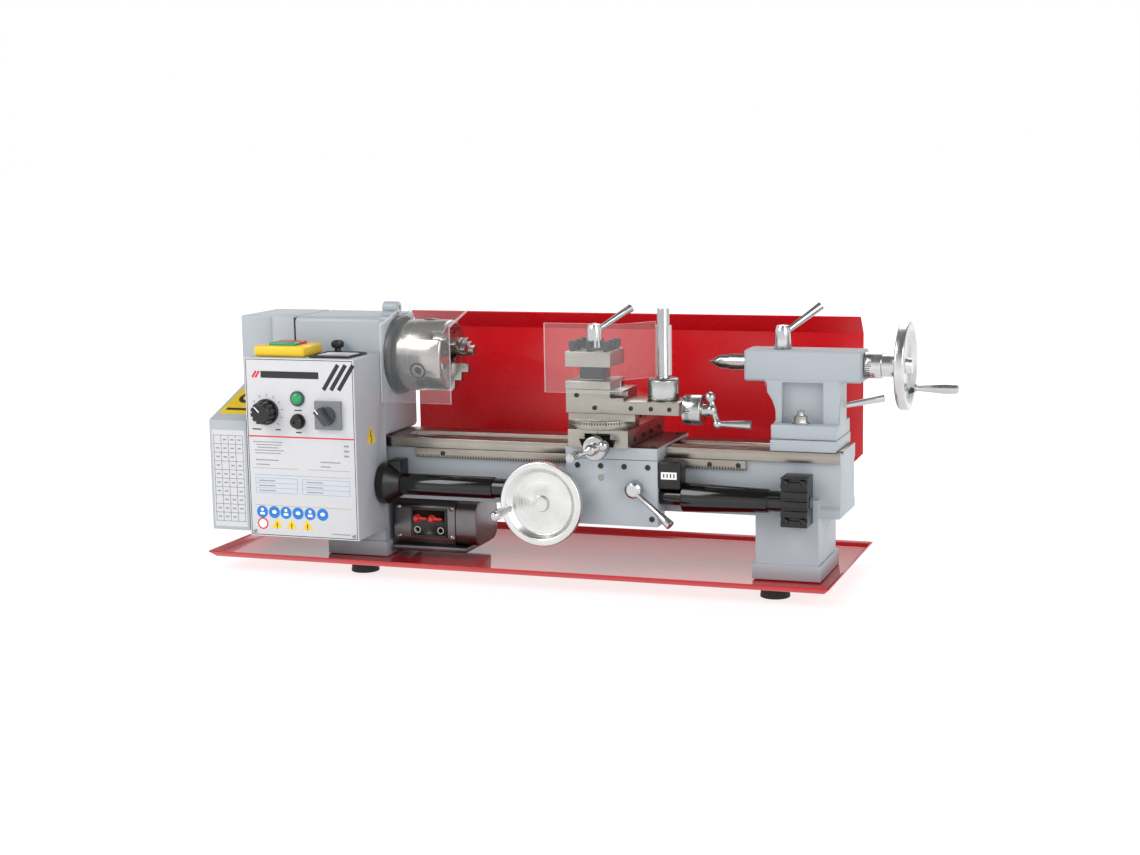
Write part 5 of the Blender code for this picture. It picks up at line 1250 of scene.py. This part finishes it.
@dataclass
class Chuck:
    """The three-jaw chuck on the spindle."""

    radius: float = 40.0
    socket_x: float = 38.2
    socket_angles: tuple[float, ...] = (80.0, 200.0, 320.0)
    face_x: float = 65.5

    def way(self, degrees: float) -> Vector:
        """The direction out from the spindle's axis at this angle from +Y towards +Z."""
        turn = math.radians(degrees)
        return Vector((0, math.cos(turn), math.sin(turn)))

    def build(self) -> None:
        """Carries the turned parts over, and adds the key sockets, a flat black ring round each as painted
        shade of the gap round its pinion, and the face screws.
        """
        axis = (0.0, 0.0, SPINDLE_Z)
        turned = TurnedMetal("turned_chuck_steel", "#ADA8A3", Axis.X, axis, 0.2, 1.0)
        worked("spindle", turned, edge=0.4)
        worked("chuck_body", turned, edge=0.7)
        for number in (1, 2, 3):
            worked(f"chuck_jaw_{number}", JAW_STEEL, edge=0.35)
        rings, squares = [], []
        for degrees in self.socket_angles:
            out = self.way(degrees)
            foot = pt(self.socket_x, 0, SPINDLE_Z) + out * (self.radius - 1.2) * MM
            ring = [(-1.0, 7.4), (1.7, 7.4), (2.0, 7.0), (2.0, 5.2), (0.8, 4.6), (-1.0, 4.5)]
            rings.append(lathe("ring", foot, out, ring, 28))
            squares.append(lathe("square", foot, out, [(-1.0, 4.4), (1.5, 4.4), (1.5, 2.9), (-0.4, 2.7)], 4))
            # A flat black ring round each socket, standing 0.1 mm proud of the body: painted shade of the
            # gap round the pinion, not a cut groove.
            groove_shade = [(-1.5, 9.6), (1.3, 9.6), (1.3, 7.4), (-1.5, 7.4)]
            squares.append(lathe("groove_shade", foot, out, groove_shade, 28))
        fit(joined("chuck_key_rings", rings), "spindle", SCREW_ZINC)
        fit(joined("chuck_key_squares", squares), "spindle", BLACK_SCREW)
        places = [
            (pt(self.face_x, 0, SPINDLE_Z) + self.way(a) * 27 * MM, RIGHT)
            for a in self.socket_angles
        ]
        screws = place_copies("chuck_face_screws", socket_screw(3.2, 0.6), places)
        fit(screws, "spindle", BLACK_SCREW)


@dataclass
class ChuckGuard:
    """The clear hood that swings over the chuck."""

    low: float = 200.0

    def build(self) -> None:
        """Carries the hood over, with bright cut edges."""
        worked("chuck_guard", (CLEAR, CLEAR_EDGE), edge=0.0, choose=self.edges)

    def edges(self, middle: Vector, normal: Vector) -> int:
        """The ends and lower edges of the sheet, where it was cut."""
        if abs(normal.x) > 0.8:
            return 1
        return int(normal.z < -0.7 and middle.z < self.low)


@dataclass
class ControlBox:
    """The control box: its folded cover, printed panel, knobs, lamp, fuse and switch."""

    front: float = -122.2
    left: float = -130.6
    right: float = 1.0
    low: float = 49.4
    top: float = 247.0
    knob_at: tuple[float, float] = (-105.0, 188.0)
    lamp_at: tuple[float, float] = (-67.0, 203.5)
    fuse_at: tuple[float, float] = (-67.0, 178.5)
    selector_at: tuple[float, float] = (-29.5, 186.5)
    body: str = "bed"

    def build(self) -> None:
        """Carries the box over and adds what is on it."""
        worked("control_box", BOX_ENAMEL, edge=1.0)
        worked(
            "control_panel",
            (WHITE_FOIL, GREY_PLATE),
            edge=0.3,
            choose=lambda middle, normal: int(middle.y < self.front - 0.2),
        )
        worked("switch_base", YELLOW_BODY, edge=1.0)
        worked("start_button", GREEN_BUTTON, edge=0.7)
        worked("stop_button", RED_BUTTON, edge=0.7)
        worked("selector_knob", GREY_KNOB, edge=0.7)
        self.add_print()
        self.add_speed_knob()
        self.add_lamp_and_fuse()
        self.add_top()

    def add_print(self) -> None:
        """The panel's print: rules, bars and signs of no meaning, in their real places."""
        marks = Marks("panel_print", self.front, FRONT)
        width, middle = self.right - self.left - 3.4, (self.left + self.right) / 2
        frame_lines = [
            (4, middle, self.top - 1.6, width, 0.7, 0),
            (4, middle, self.low + 1.6, width, 0.7, 0),
            (4, self.left + 1.7, (self.low + self.top) / 2, 0.7, self.top - self.low - 3.2, 0),
            (4, self.right - 1.7, (self.low + self.top) / 2, 0.7, self.top - self.low - 3.2, 0),
        ]
        stripes = [(4, x, 227.5, 4.6, 33.0, -33) for x in (-26.5, -17.5, -8.5)]
        header = [(4, -76.0, 229.0, 70.0, 7.5, 0)]
        scale = [
            (
                4,
                self.knob_at[0] + 18.6 * math.cos(math.radians(a)),
                self.knob_at[1] + 18.6 * math.sin(math.radians(a)),
                2.6,
                0.6,
                a,
            )
            for a in range(-45, 226, 27)
        ]
        places = ((-118, 168.5, 11), (-92, 168.5, 6), (-67, 190.6, 9), (-67, 166.2, 7))
        captions = [(4, x, z, w, 1.3, 0) for x, z, w in places]
        black = frame_lines + stripes + header + scale + captions
        marks.draw("black", self.body, INK_BLACK, black)
        emblem = [(4, -119.0, 229.0, 2.4, 8.5, -33), (4, -115.2, 229.0, 2.4, 8.5, -33)]
        red = [(4, middle, 160.7, width - 1.2, 1.5, 0), *emblem, (28, -115.0, 63.5, 13.0, 13.0, 0)]
        marks.draw("red", self.body, INK_RED, red)
        small = [(4, -105.5 + (i % 2) * 1.5, 154.5 - 3.1 * i, 36.0 - 5 * (i % 3), 1.0, 0) for i in range(5)]
        small += [(4, -10.5, z, 6.0, 2.0, 0) for z in (153.0, 147.5, 142.0)]
        places = (
            (-107, 134.5, 28),
            (-30, 134.5, 24),
            (-112, 129.5, 16),
            (-36, 129.5, 12),
            (-20, 55.5, 22),
        )
        forms = [(4, x, z, w, 1.2, 0) for x, z, w in places]
        rules = [(4, x, 125.5, w, 0.4, 0) for x, w in ((-97, 54), (-32, 50))]
        rules += [(4, middle, z, width - 12, 0.35, 0) for z in (118.0, 84.0)]
        rows = [(4, x, z, 20.0, 1.1, 0) for x in (-108, -50) for z in (111.5, 106.0, 100.5)]
        marks.draw("grey", self.body, INK_GREY, small + forms + rules + rows)
        table = []
        for left, right in ((-122.0, -71.0), (-65.0, -8.0)):
            table += [(4, (left + right) / 2, z, right - left, 0.5, 0) for z in (114.5, 109.0, 103.5, 98.0)]
            table += [(4, x, 106.25, 0.5, 16.5, 0) for x in (left, right)]
        marks.draw("pale_blue", self.body, INK_SKY, table)
        discs = [(28, x, 76.5, 13.6, 13.6, 0) for x in (-115.3, -100.6, -86.4, -71.6, -56.9, -41.7)]
        marks.draw("blue", self.body, INK_BLUE, discs)
        triangles = [(3, x, 62.6, 15.0, 15.0, 0) for x in (-97.7, -79.8, -60.6)]
        marks.draw("yellow", self.body, INK_YELLOW, triangles)
        over = Marks("panel_signs", self.front - 0.12, FRONT, thickness=0.06)
        heads = [(20, x, 79.0, 3.6, 3.6, 0) for x in (-115.3, -86.4, -56.9)]
        bodies = [(4, x, 74.6, 5.6, 2.6, 0) for x in (-115.3, -86.4, -56.9)]
        others = [(20, x, 76.8, 5.6, 4.2, 0) for x in (-100.6, -71.6, -41.7)]
        others += [(28, -115.0, 63.5, 9.6, 9.6, 0)]
        over.draw("white", self.body, INK_WHITE, heads + bodies + others)
        dark = [(4, x, 62.6, 1.3, 4.6, 0) for x in (-97.7, -79.8, -60.6)]
        dark += [(12, x, 58.9, 1.4, 1.4, 0) for x in (-97.7, -79.8, -60.6)]
        over.draw("black", self.body, INK_BLACK, dark)
        side = Marks("box_sign", self.right, RIGHT)
        side.draw("yellow", self.body, INK_YELLOW, [(3, -84.0, 158.0, 27.0, 27.0, 0)])
        sign = Marks("box_sign", self.right + 0.12, RIGHT, thickness=0.06)
        bolt = [(4, -84.8, 162.5, 1.9, 8.0, -16), (4, -83.4, 155.6, 1.9, 8.0, -16)]
        sign.draw("black", self.body, INK_BLACK, bolt)

    def add_speed_knob(self) -> None:
        """The speed knob: a skirt and a fluted grip, with a white pointer line."""
        x, z = self.knob_at
        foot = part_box("speed_knob")[1].y
        at = Vector((pt(x, 0, z).x, foot, pt(x, 0, z).z))
        depth = (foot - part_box("speed_knob")[0].y) / MM
        knob = lathe(
            "speed_knob_finished",
            at,
            FRONT,
            [(0, 14.4), (3.0, 14.4), (3.6, 13.6), (3.6, 11.2), (depth - 1.0, 10.6), (depth, 9.6)],
            36,
        )
        only(knob)
        bpy.ops.object.mode_set(mode="EDIT")
        axis_x, axis_z = at.x, at.z

        def flute(face: bmesh.types.BMFace) -> bool:
            """Every third face of the grip's side."""
            middle = face.calc_center_median()
            angle = math.degrees(math.atan2(middle.z - axis_z, middle.x - axis_x)) % 360
            side = abs(face.normal.y) < 0.3 and (foot - middle.y) / MM > 4.0
            return side and int(angle // 10) % 3 != 2

        select_faces(knob, flute)
        bpy.ops.mesh.extrude_region_move()
        bpy.ops.transform.resize(value=(1.15, 1.0, 1.15), center_override=at)
        bpy.ops.object.mode_set(mode="OBJECT")
        ease_edges(knob, 0.35)
        smooth(knob)
        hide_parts("speed_knob")
        fit(knob, "speed_knob", BLACK_KNOB)
        top = Marks("speed_knob", (at.y - DATUM.y) / MM - depth, FRONT, thickness=0.1)
        top.draw("pointer", "speed_knob", INK_WHITE, [(4, x - 4.0, z + 4.0, 1.2, 8.0, 45)])
        selector = (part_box("selector_knob")[0].y - DATUM.y) / MM
        line = Marks("selector_knob", selector, FRONT, thickness=0.1)
        sx, sz = self.selector_at
        line.draw("pointer", "selector_knob", INK_WHITE, [(4, sx - 5.0, sz + 6.0, 1.2, 6.0, 40)])

    def add_lamp_and_fuse(self) -> None:
        """The pilot lamp in its bezel, and the fuse holder with its slotted cap."""
        x, z = self.lamp_at
        at = pt(x, self.front, z)
        profile = [(-0.4, 8.4), (1.6, 8.4), (2.2, 7.6), (2.2, 6.8), (1.2, 6.6)]
        bezel = lathe("pilot_lamp_bezel", at, FRONT, profile, 32)
        fit(bezel, self.body, GREY_KNOB)
        dome = lathe(
            "pilot_lamp_lens",
            at,
            FRONT,
            [(0.8, 6.7), (2.4, 6.7), (4.2, 5.9), (5.4, 4.4), (6.0, 2.2), (6.1, 0.6)],
            32,
        )
        fit(dome, self.body, GREEN_BUTTON)
        x, z = self.fuse_at
        at = pt(x, self.front, z)
        profile = [(-0.4, 8.5), (1.8, 8.5), (2.6, 7.8), (2.6, 6.6)]
        profile += [(8.2, 6.2), (9.0, 5.4), (9.0, 2.0), (7.6, 1.8)]
        fit(lathe("fuse_holder", at, FRONT, profile, 32), self.body, BLACK_KNOB)

    def add_top(self) -> None:
        """The rating plate and the cable gland on the box's top, and the panel's screws."""
        plate = block("box_top_plate", (-57.0, -112.0, self.top + 0.2), (-9.0, -66.0, self.top + 2.2), 0.5)
        only(plate)
        bpy.ops.object.mode_set(mode="EDIT")
        select_faces(plate, lambda face: face.normal.z > 0.9)
        bpy.ops.mesh.inset(thickness=2.2 * MM)
        bpy.ops.mesh.extrude_region_move(TRANSFORM_OT_translate={"value": (0, 0, -0.5 * MM)})
        bpy.ops.object.mode_set(mode="OBJECT")
        paint(
            plate,
            (BLACK_KNOB, WHITE_FOIL),
            lambda middle, normal: int(normal.z > 0.9 and middle.z < self.top + 2.0),
        )
        fit(plate, self.body, ())
        gland = lathe(
            "box_top_button",
            pt(-49.0, -57.0, self.top),
            UP,
            [(-0.2, 4.2), (5.0, 3.6), (6.0, 6.4), (9.5, 7.4), (12.5, 6.6), (14.0, 4.0), (14.2, 1.0)],
            28,
        )
        fit(gland, self.body, BLACK_KNOB)
        corners = [(x, z) for x in (self.left + 5.5, self.right - 5.5) for z in (self.low + 5.0,)]
        screws = [(pt(x, self.front, z), FRONT) for x, z in corners]
        fit(place_copies("panel_screws", pan_screw(2.4, 1.2), screws), self.body, SCREW_ZINC)


@dataclass
class Drive:
    """The motor under the bed, its belt and its change gears."""

    window: tuple[float, float, float, float] = (26.0, 70.0, 40.0, 73.0)
    front: float = -39.0

    def build(self) -> None:
        """Carries the motor and gears over, and adds the brush window and its terminals."""
        worked("motor", DIE_CAST, edge=1.4)
        worked("motor_pulley", DIE_CAST, edge=0.3)
        worked("drive_belt", RUBBER, edge=0.0)
        worked("idler_gear", BLACK_KNOB, edge=0.0)
        worked("stud_gear", BLACK_KNOB, edge=0.0)
        left, right, low, high = self.window
        y = self.front
        pane = block("motor_window", (left, y - 1.8, low), (right, y + 0.5, high), 0.8)
        only(pane)
        bpy.ops.object.mode_set(mode="EDIT")
        select_faces(pane, lambda face: face.normal.y < -0.9)
        bpy.ops.mesh.inset(thickness=2.4 * MM)
        bpy.ops.mesh.extrude_region_move(TRANSFORM_OT_translate={"value": (0, 1.2 * MM, 0)})
        bpy.ops.object.mode_set(mode="OBJECT")
        fit(pane, "bed", BLACK_KNOB)
        ends = []
        for x in (34.0, 52.0):
            at = pt(x, y - 0.4, 61.0)
            profile = [(-0.4, 4.6), (2.4, 4.6), (3.2, 3.4), (6.0, 3.0), (6.4, 2.4)]
            ends.append(lathe("terminal", at, FRONT, profile, 20))
            start = at + FRONT * 2.0 * MM
            ends.append(lathe("lead", start, RIGHT, [(0, 2.2), (9.0, 2.2), (12.5, 1.2)], 14))
        fit(joined("motor_terminals", ends), "bed", RED_BUTTON)
        loops = [
            lathe("loop", pt(x, y - 0.4, 48.0), FRONT, [(-0.4, 4.0), (1.2, 4.0), (1.2, 2.8), (0.2, 2.7)], 20)
            for x in (34.0, 62.0)
        ]
        fit(joined("motor_terminal_rings", loops), "bed", SCREW_ZINC)
        bolts = [(pt(x, y, z), FRONT) for x in (11.0, 75.0) for z in (40.0, 73.0)]
        fit(place_copies("motor_screws", pan_screw(3.0, 1.6), bolts), "bed", SCREW_ZINC)


@dataclass
class Leadscrew:
    """The leadscrew, its end brackets and the telescoping covers on either side."""

    left_tube: tuple[float, float, float] = (124.0, 222.0, 10.5)
    right_tube: tuple[float, float, float] = (398.0, 455.7, 11.0)

    def sleeve(self, name: str, left: float, right: float, radius: float, body: str) -> None:
        """A thin tube about the leadscrew.

        Args:
            name: the piece's name.
            left: its left end.
            right: its right end.
            radius: its outer radius.
            body: the body that it rides on.
        """
        long, inner = right - left, radius - 0.9
        profile = [(0, inner), (0, radius - 0.2), (0.3, radius), (long - 0.3, radius)]
        profile += [(long, radius - 0.2), (long, inner), (0.02, inner - 0.01)]
        tube = lathe(name, pt(left, SCREW_Y, SCREW_Z), RIGHT, profile, 40)
        fit(tube, body, BLACK_TUBE)

    def build(self) -> None:
        """Carries the screw, brackets and covers over, and adds the two inner tubes."""
        thread = TurnedMetal("turned_leadscrew", "#8F8B84", Axis.X, (0, SCREW_Y, SCREW_Z), 0.28)
        worked("leadscrew", thread, edge=0.0)
        worked("leadscrew_bracket_left", DARK_IRON, edge=0.8)
        worked("leadscrew_bracket_right", DARK_IRON, edge=0.8)
        worked("left_cover_tube", BLACK_TUBE, edge=0.3)
        worked("right_cover_slide", BLACK_TUBE, edge=0.3)
        screws = [(pt(x, -74.5, z), FRONT) for x in (461.0, 479.0) for z in (85.0, 125.0)]
        self.sleeve("left_inner_tube", *self.left_tube, "carriage")
        self.sleeve("right_inner_tube", *self.right_tube, "bed")
        fit(place_copies("bracket_screws", socket_screw(3.2, 2.2), screws), "bed", BLACK_SCREW)


@dataclass
class Carriage:
    """The saddle and apron with the handwheel, half-nut lever and thread dial."""

    wheel_at: Point = (203.4, -96.0, 96.0)

    def build(self) -> None:
        """Carries the castings over, and adds the apron and saddle screws and the thread dial's label."""
        x, y, z = self.wheel_at
        worked("saddle", (GREY_ENAMEL, OILED_WAYS), edge=0.6, choose=lambda m, n: int(m.z > 155.0))
        worked("apron", GREY_ENAMEL, edge=1.2)
        worked("rack_pinion", RACK_STEEL, edge=0.0)
        worked("half_nut_upper", RACK_STEEL, edge=0.0)
        worked("half_nut_lower", RACK_STEEL, edge=0.0)
        worked("half_nut_lever", CHROME, edge=0.4)
        worked("thread_dial", DARK_IRON, edge=0.7)
        wheel = TurnedMetal("turned_apron_wheel", "#DCDCDA", Axis.Y, self.wheel_at, 0.26, 1.3)
        worked("apron_handwheel", wheel, edge=0.8)
        worked("apron_handle", CHROME, edge=0.4)
        heads = ((236.0, 135.0), (262.0, 135.0), (288.0, 135.0), (314.0, 135.0), (318.0, 80.0))
        screws = [(pt(px, -73.0, pz), FRONT) for px, pz in heads]
        fit(place_copies("apron_screws", socket_screw(3.0, 0.9), screws), "carriage", BLACK_SCREW)
        tops = [(pt(px, py, 155.3), UP) for px in (230.5, 316.5) for py in (-62.0, 36.0)]
        fit(place_copies("saddle_screws", socket_screw(3.0, 0.9), tops), "carriage", BLACK_SCREW)
        plate = Marks("thread_dial", -72.0, FRONT)
        plate.draw("label", "carriage", INK_WHITE, [(4, 336.5, 127.0, 17.0, 7.5, 0)])
        lines = Marks("thread_dial", -72.12, FRONT, thickness=0.06)
        bars = [(4, 331.0 + 3.7 * i, 127.0, 1.5, 4.2, 0) for i in range(4)]
        lines.draw("bars", "carriage", INK_BLACK, bars)


@dataclass
class CrossSlide:
    """The cross slide and its screw with the graduated dial."""

    dial_at: Point = (262.0, -81.3, 156.5)

    def build(self) -> None:
        """Carries the slide and its screw over, and adds the gib screws."""
        worked("cross_slide", GROUND_FRONT, edge=0.5)
        dial = TurnedMetal(
            "graduated_cross_dial", "#BDBDBC", Axis.Y, self.dial_at, 0.2, 0.7, 40, -4.0, 3.0
        )
        worked("cross_screw", dial, edge=0.4)
        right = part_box("cross_slide")[1].x
        places = []
        for y in (-60.0, -30.0, 0.0, 30.0):
            foot = pt(0, y, 163.0)
            foot.x = right
            places.append((foot, RIGHT))
        gibs = place_copies("cross_gib_screws", socket_screw(2.3, 1.6), places)
        fit(gibs, "cross_slide", BLACK_SCREW)
        face = (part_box("cross_slide")[0].y - DATUM.y) / MM
        index = Marks("cross_dial", face, FRONT)
        index.draw("index", "cross_slide", INK_BLACK, [(4, 262.0, 171.0, 0.8, 4.0, 0)])


@dataclass
class TopSlide:
    """The swivelling top slide, its screw, the toolpost and the clear tool guard."""

    front: float = -72.7
    swivel_at: Point = (258.0, -48.7, 181.0)
    post_middle: tuple[float, float] = (249.0, -48.7)

    def build(self) -> None:
        """Carries the slide, screw, toolpost and guard over, and adds screws."""
        swivel = TurnedMetal(
            "graduated_swivel", "#A5A198", Axis.Z, self.swivel_at, 0.3, 0.8, 80, 0.0, 2.0
        )
        worked("compound_base", swivel, edge=0.4)
        worked("top_slide", GROUND_FRONT, edge=0.5)
        dial = TurnedMetal(
            "graduated_top_dial", "#BDBDBC", Axis.X, (348.3, -48.7, 194.3), 0.2, 0.7, 40, 5.5, 3.4
        )
        worked("compound_screw", dial, edge=0.4)
        worked("toolpost", (GROUND_FRONT, BLACKED), edge=0.6, choose=self.post_faces)
        worked("toolpost_lever", CHROME, edge=0.4)
        post = TurnedMetal("turned_guard_post", "#B9B9B8", Axis.Z, (325.0, -48.7, 204.5), 0.18)
        worked("tool_guard_post", post, edge=0.5)
        worked("tool_guard_plate", (CLEAR, CLEAR_EDGE), edge=0.0, choose=self.edges)
        x, y = self.post_middle
        bolts = [(pt(x + dx, y + dy, 255.9), UP) for dx in (-18.5, 18.5) for dy in (-18.5, 0, 18.5)]
        bolts += [(pt(x, y + dy, 255.9), UP) for dy in (-18.5, 18.5)]
        bolt = lathe(
            "bolt",
            Vector((0, 0, 0)),
            UP,
            [(-0.5, 2.9), (3.0, 2.9), (3.0, 4.3), (9.6, 4.3), (10.4, 3.6), (10.4, 2.2), (7.4, 2.0)],
            16,
        )
        fit(place_copies("toolpost_bolts", bolt, bolts), "toolpost", BLACK_SCREW)
        heads = ((256.0, 196.5), (296.0, 197.0), (318.0, 197.0), (338.0, 197.0))
        places = [(pt(px, self.front, pz), FRONT) for px, pz in heads]
        places += [(pt(px, self.front, 209.5), FRONT) for px in (236.0, 276.0)]
        gibs = place_copies("top_gib_screws", socket_screw(2.4, 1.2), places)
        fit(gibs, "top_slide", BLACK_SCREW)

    def post_faces(self, middle: Vector, normal: Vector) -> int:
        """The toolpost's blocks are ground; the neck between them is blacked."""
        return int(225.2 < middle.z < 239.2)

    def edges(self, middle: Vector, normal: Vector) -> int:
        """The cut edges of the clear plate."""
        return int(abs(normal.y) < 0.6)


@dataclass
class Tailstock:
    """The tailstock, its quill with the dead centre, handwheel and levers."""

    wheel_at: Point = (570.0, 0.0, 240.0)

    def build(self) -> None:
        """Carries the castings over, and adds the clamp nut."""
        worked("tailstock_base", GREY_ENAMEL, edge=1.0)
        worked("tail_clamp_plate", DARK_IRON, edge=0.6)
        worked("tailstock_body", GREY_ENAMEL, edge=1.6)
        quill = TurnedMetal("turned_quill", "#ABA8A3", Axis.X, (361.0, 0.0, SPINDLE_Z), 0.17)
        worked("quill", quill, edge=0.25)
        wheel = TurnedMetal(
            "turned_tail_wheel", "#D2D2D1", Axis.X, (529.3, 0.0, SPINDLE_Z), 0.2, 1.2, 40, 4.0, 4.0
        )
        worked("tail_handwheel", wheel, edge=0.8)
        worked("tail_handle", CHROME, edge=0.4)
        worked("quill_lock_lever", CHROME, edge=0.4)
        worked("tail_clamp_lever", CHROME, edge=0.4)
        profile = [(-0.3, 9.5), (1.4, 9.5), (1.4, 7.6), (8.0, 7.6)]
        profile += [(8.6, 6.6), (8.6, 4.0), (13.0, 4.0), (13.8, 3.2)]
        nut = lathe("tail_clamp_nut", pt(466.0, -24.0, 179.7), UP, profile, 6, 0.3)
        fit(nut, "tailstock", SCREW_ZINC)


# ---------------------------------------------------------------- studio


@dataclass
class Studio:
    """The pale floor, the soft lights and the camera."""

    floor: str = "#F4F4F4"
    camera_at: Point = (900.5, -1975.6, 475.2)
    lens: float = 60.8
    yaw: float = 19.46
    pitch: float = 8.47
    roll: float = -0.93

    def build(self) -> None:
        """Makes the stage, the lights and the camera."""
        self.add_floor()
        self.add_light("key_light", (-1500.0, -1900.0, 2300.0), 1900.0, 62.0)
        self.add_light("fill_light", (2300.0, -1500.0, 1500.0), 1500.0, 26.0)
        self.add_light("back_light", (300.0, 1900.0, 2100.0), 1800.0, 26.0)
        self.add_camera()

    def add_floor(self) -> None:
        """A wide matt sheet under the lathe, and the bright room around it."""
        bpy.ops.object.select_all(action="DESELECT")
        bpy.ops.mesh.primitive_plane_add(size=60, location=(0, 0, -0.0002))
        sheet = bpy.context.object
        sheet.name = "studio_floor"
        paint(sheet, [PaperSweep("white_paper_floor", "#8C8C8E")])
        world = bpy.data.worlds.new("studio")
        bpy.context.scene.world = world
        world.use_nodes = True
        tree = world.node_tree
        tree.nodes.clear()
        way = add_node(tree, "ShaderNodeTexCoord").outputs["Generated"]
        height = add_node(tree, "ShaderNodeSeparateXYZ", {0: way}).outputs[2]
        glow = add_node(
            tree,
            "ShaderNodeMapRange",
            {"Value": height, "From Min": 0.3, "From Max": 0.6, "To Min": 1.0, "To Max": 0.2},
        ).outputs[0]
        light = add_node(
            tree, "ShaderNodeBackground", {"Color": (1.0, 1.0, 1.0, 1.0), "Strength": glow}
        )
        add_node(tree, "ShaderNodeOutputWorld", {"Surface": light.outputs[0]})

    def add_light(self, name: str, at: Point, size: float, watts: float) -> None:
        """A square soft box that points at the lathe's middle.

        Args:
            name: the light's name.
            at: its place in the datum.
            size: its side in millimetres.
            watts: its power.
        """
        data = bpy.data.lights.new(name, "AREA")
        data.size = size * MM
        data.energy = watts
        light = bpy.data.objects.new(name, data)
        light.location = pt(*at)
        aim = pt(200.0, 0.0, 150.0) - light.location
        light.rotation_euler = aim.to_track_quat("-Z", "Y").to_euler()
        bpy.context.scene.collection.objects.link(light)

    def add_camera(self) -> None:
        """The camera: a short telephoto lens from the right of the front, a little above."""
        yaw, pitch, roll = (math.radians(a) for a in (self.yaw, self.pitch, self.roll))
        ahead = Vector(
            (-math.sin(yaw) * math.cos(pitch), math.cos(yaw) * math.cos(pitch), -math.sin(pitch))
        )
        level = Vector((math.cos(yaw), math.sin(yaw), 0))
        upright = level.cross(ahead)
        right = math.cos(roll) * level + math.sin(roll) * upright
        up = math.cos(roll) * upright - math.sin(roll) * level
        data = bpy.data.cameras.new("camera")
        data.sensor_width = 36.0
        data.lens = self.lens
        camera = bpy.data.objects.new("camera", data)
        bpy.context.scene.collection.objects.link(camera)
        turn = Matrix((right, up, -ahead)).transposed().to_4x4()
        camera.matrix_world = Matrix.Translation(pt(*self.camera_at)) @ turn
        bpy.context.scene.camera = camera
        bpy.context.scene.view_settings.view_transform = "Standard"


def main() -> None:
    """Builds and dresses the sub-assemblies in order, then the studio."""
    logging.basicConfig(level=logging.INFO, format="%(name)s: %(message)s")
    for part in (
        TrayAndFeet(),
        Bed(),
        SplashGuard(),
        Headstock(),
        Chuck(),
        ChuckGuard(),
        ControlBox(),
        Drive(),
        Leadscrew(),
        Carriage(),
        CrossSlide(),
        TopSlide(),
        Tailstock(),
    ):
        part.build()
        log.info("%s done", type(part).__name__)
    Studio().build()


if __name__ == "__main__":
    main()
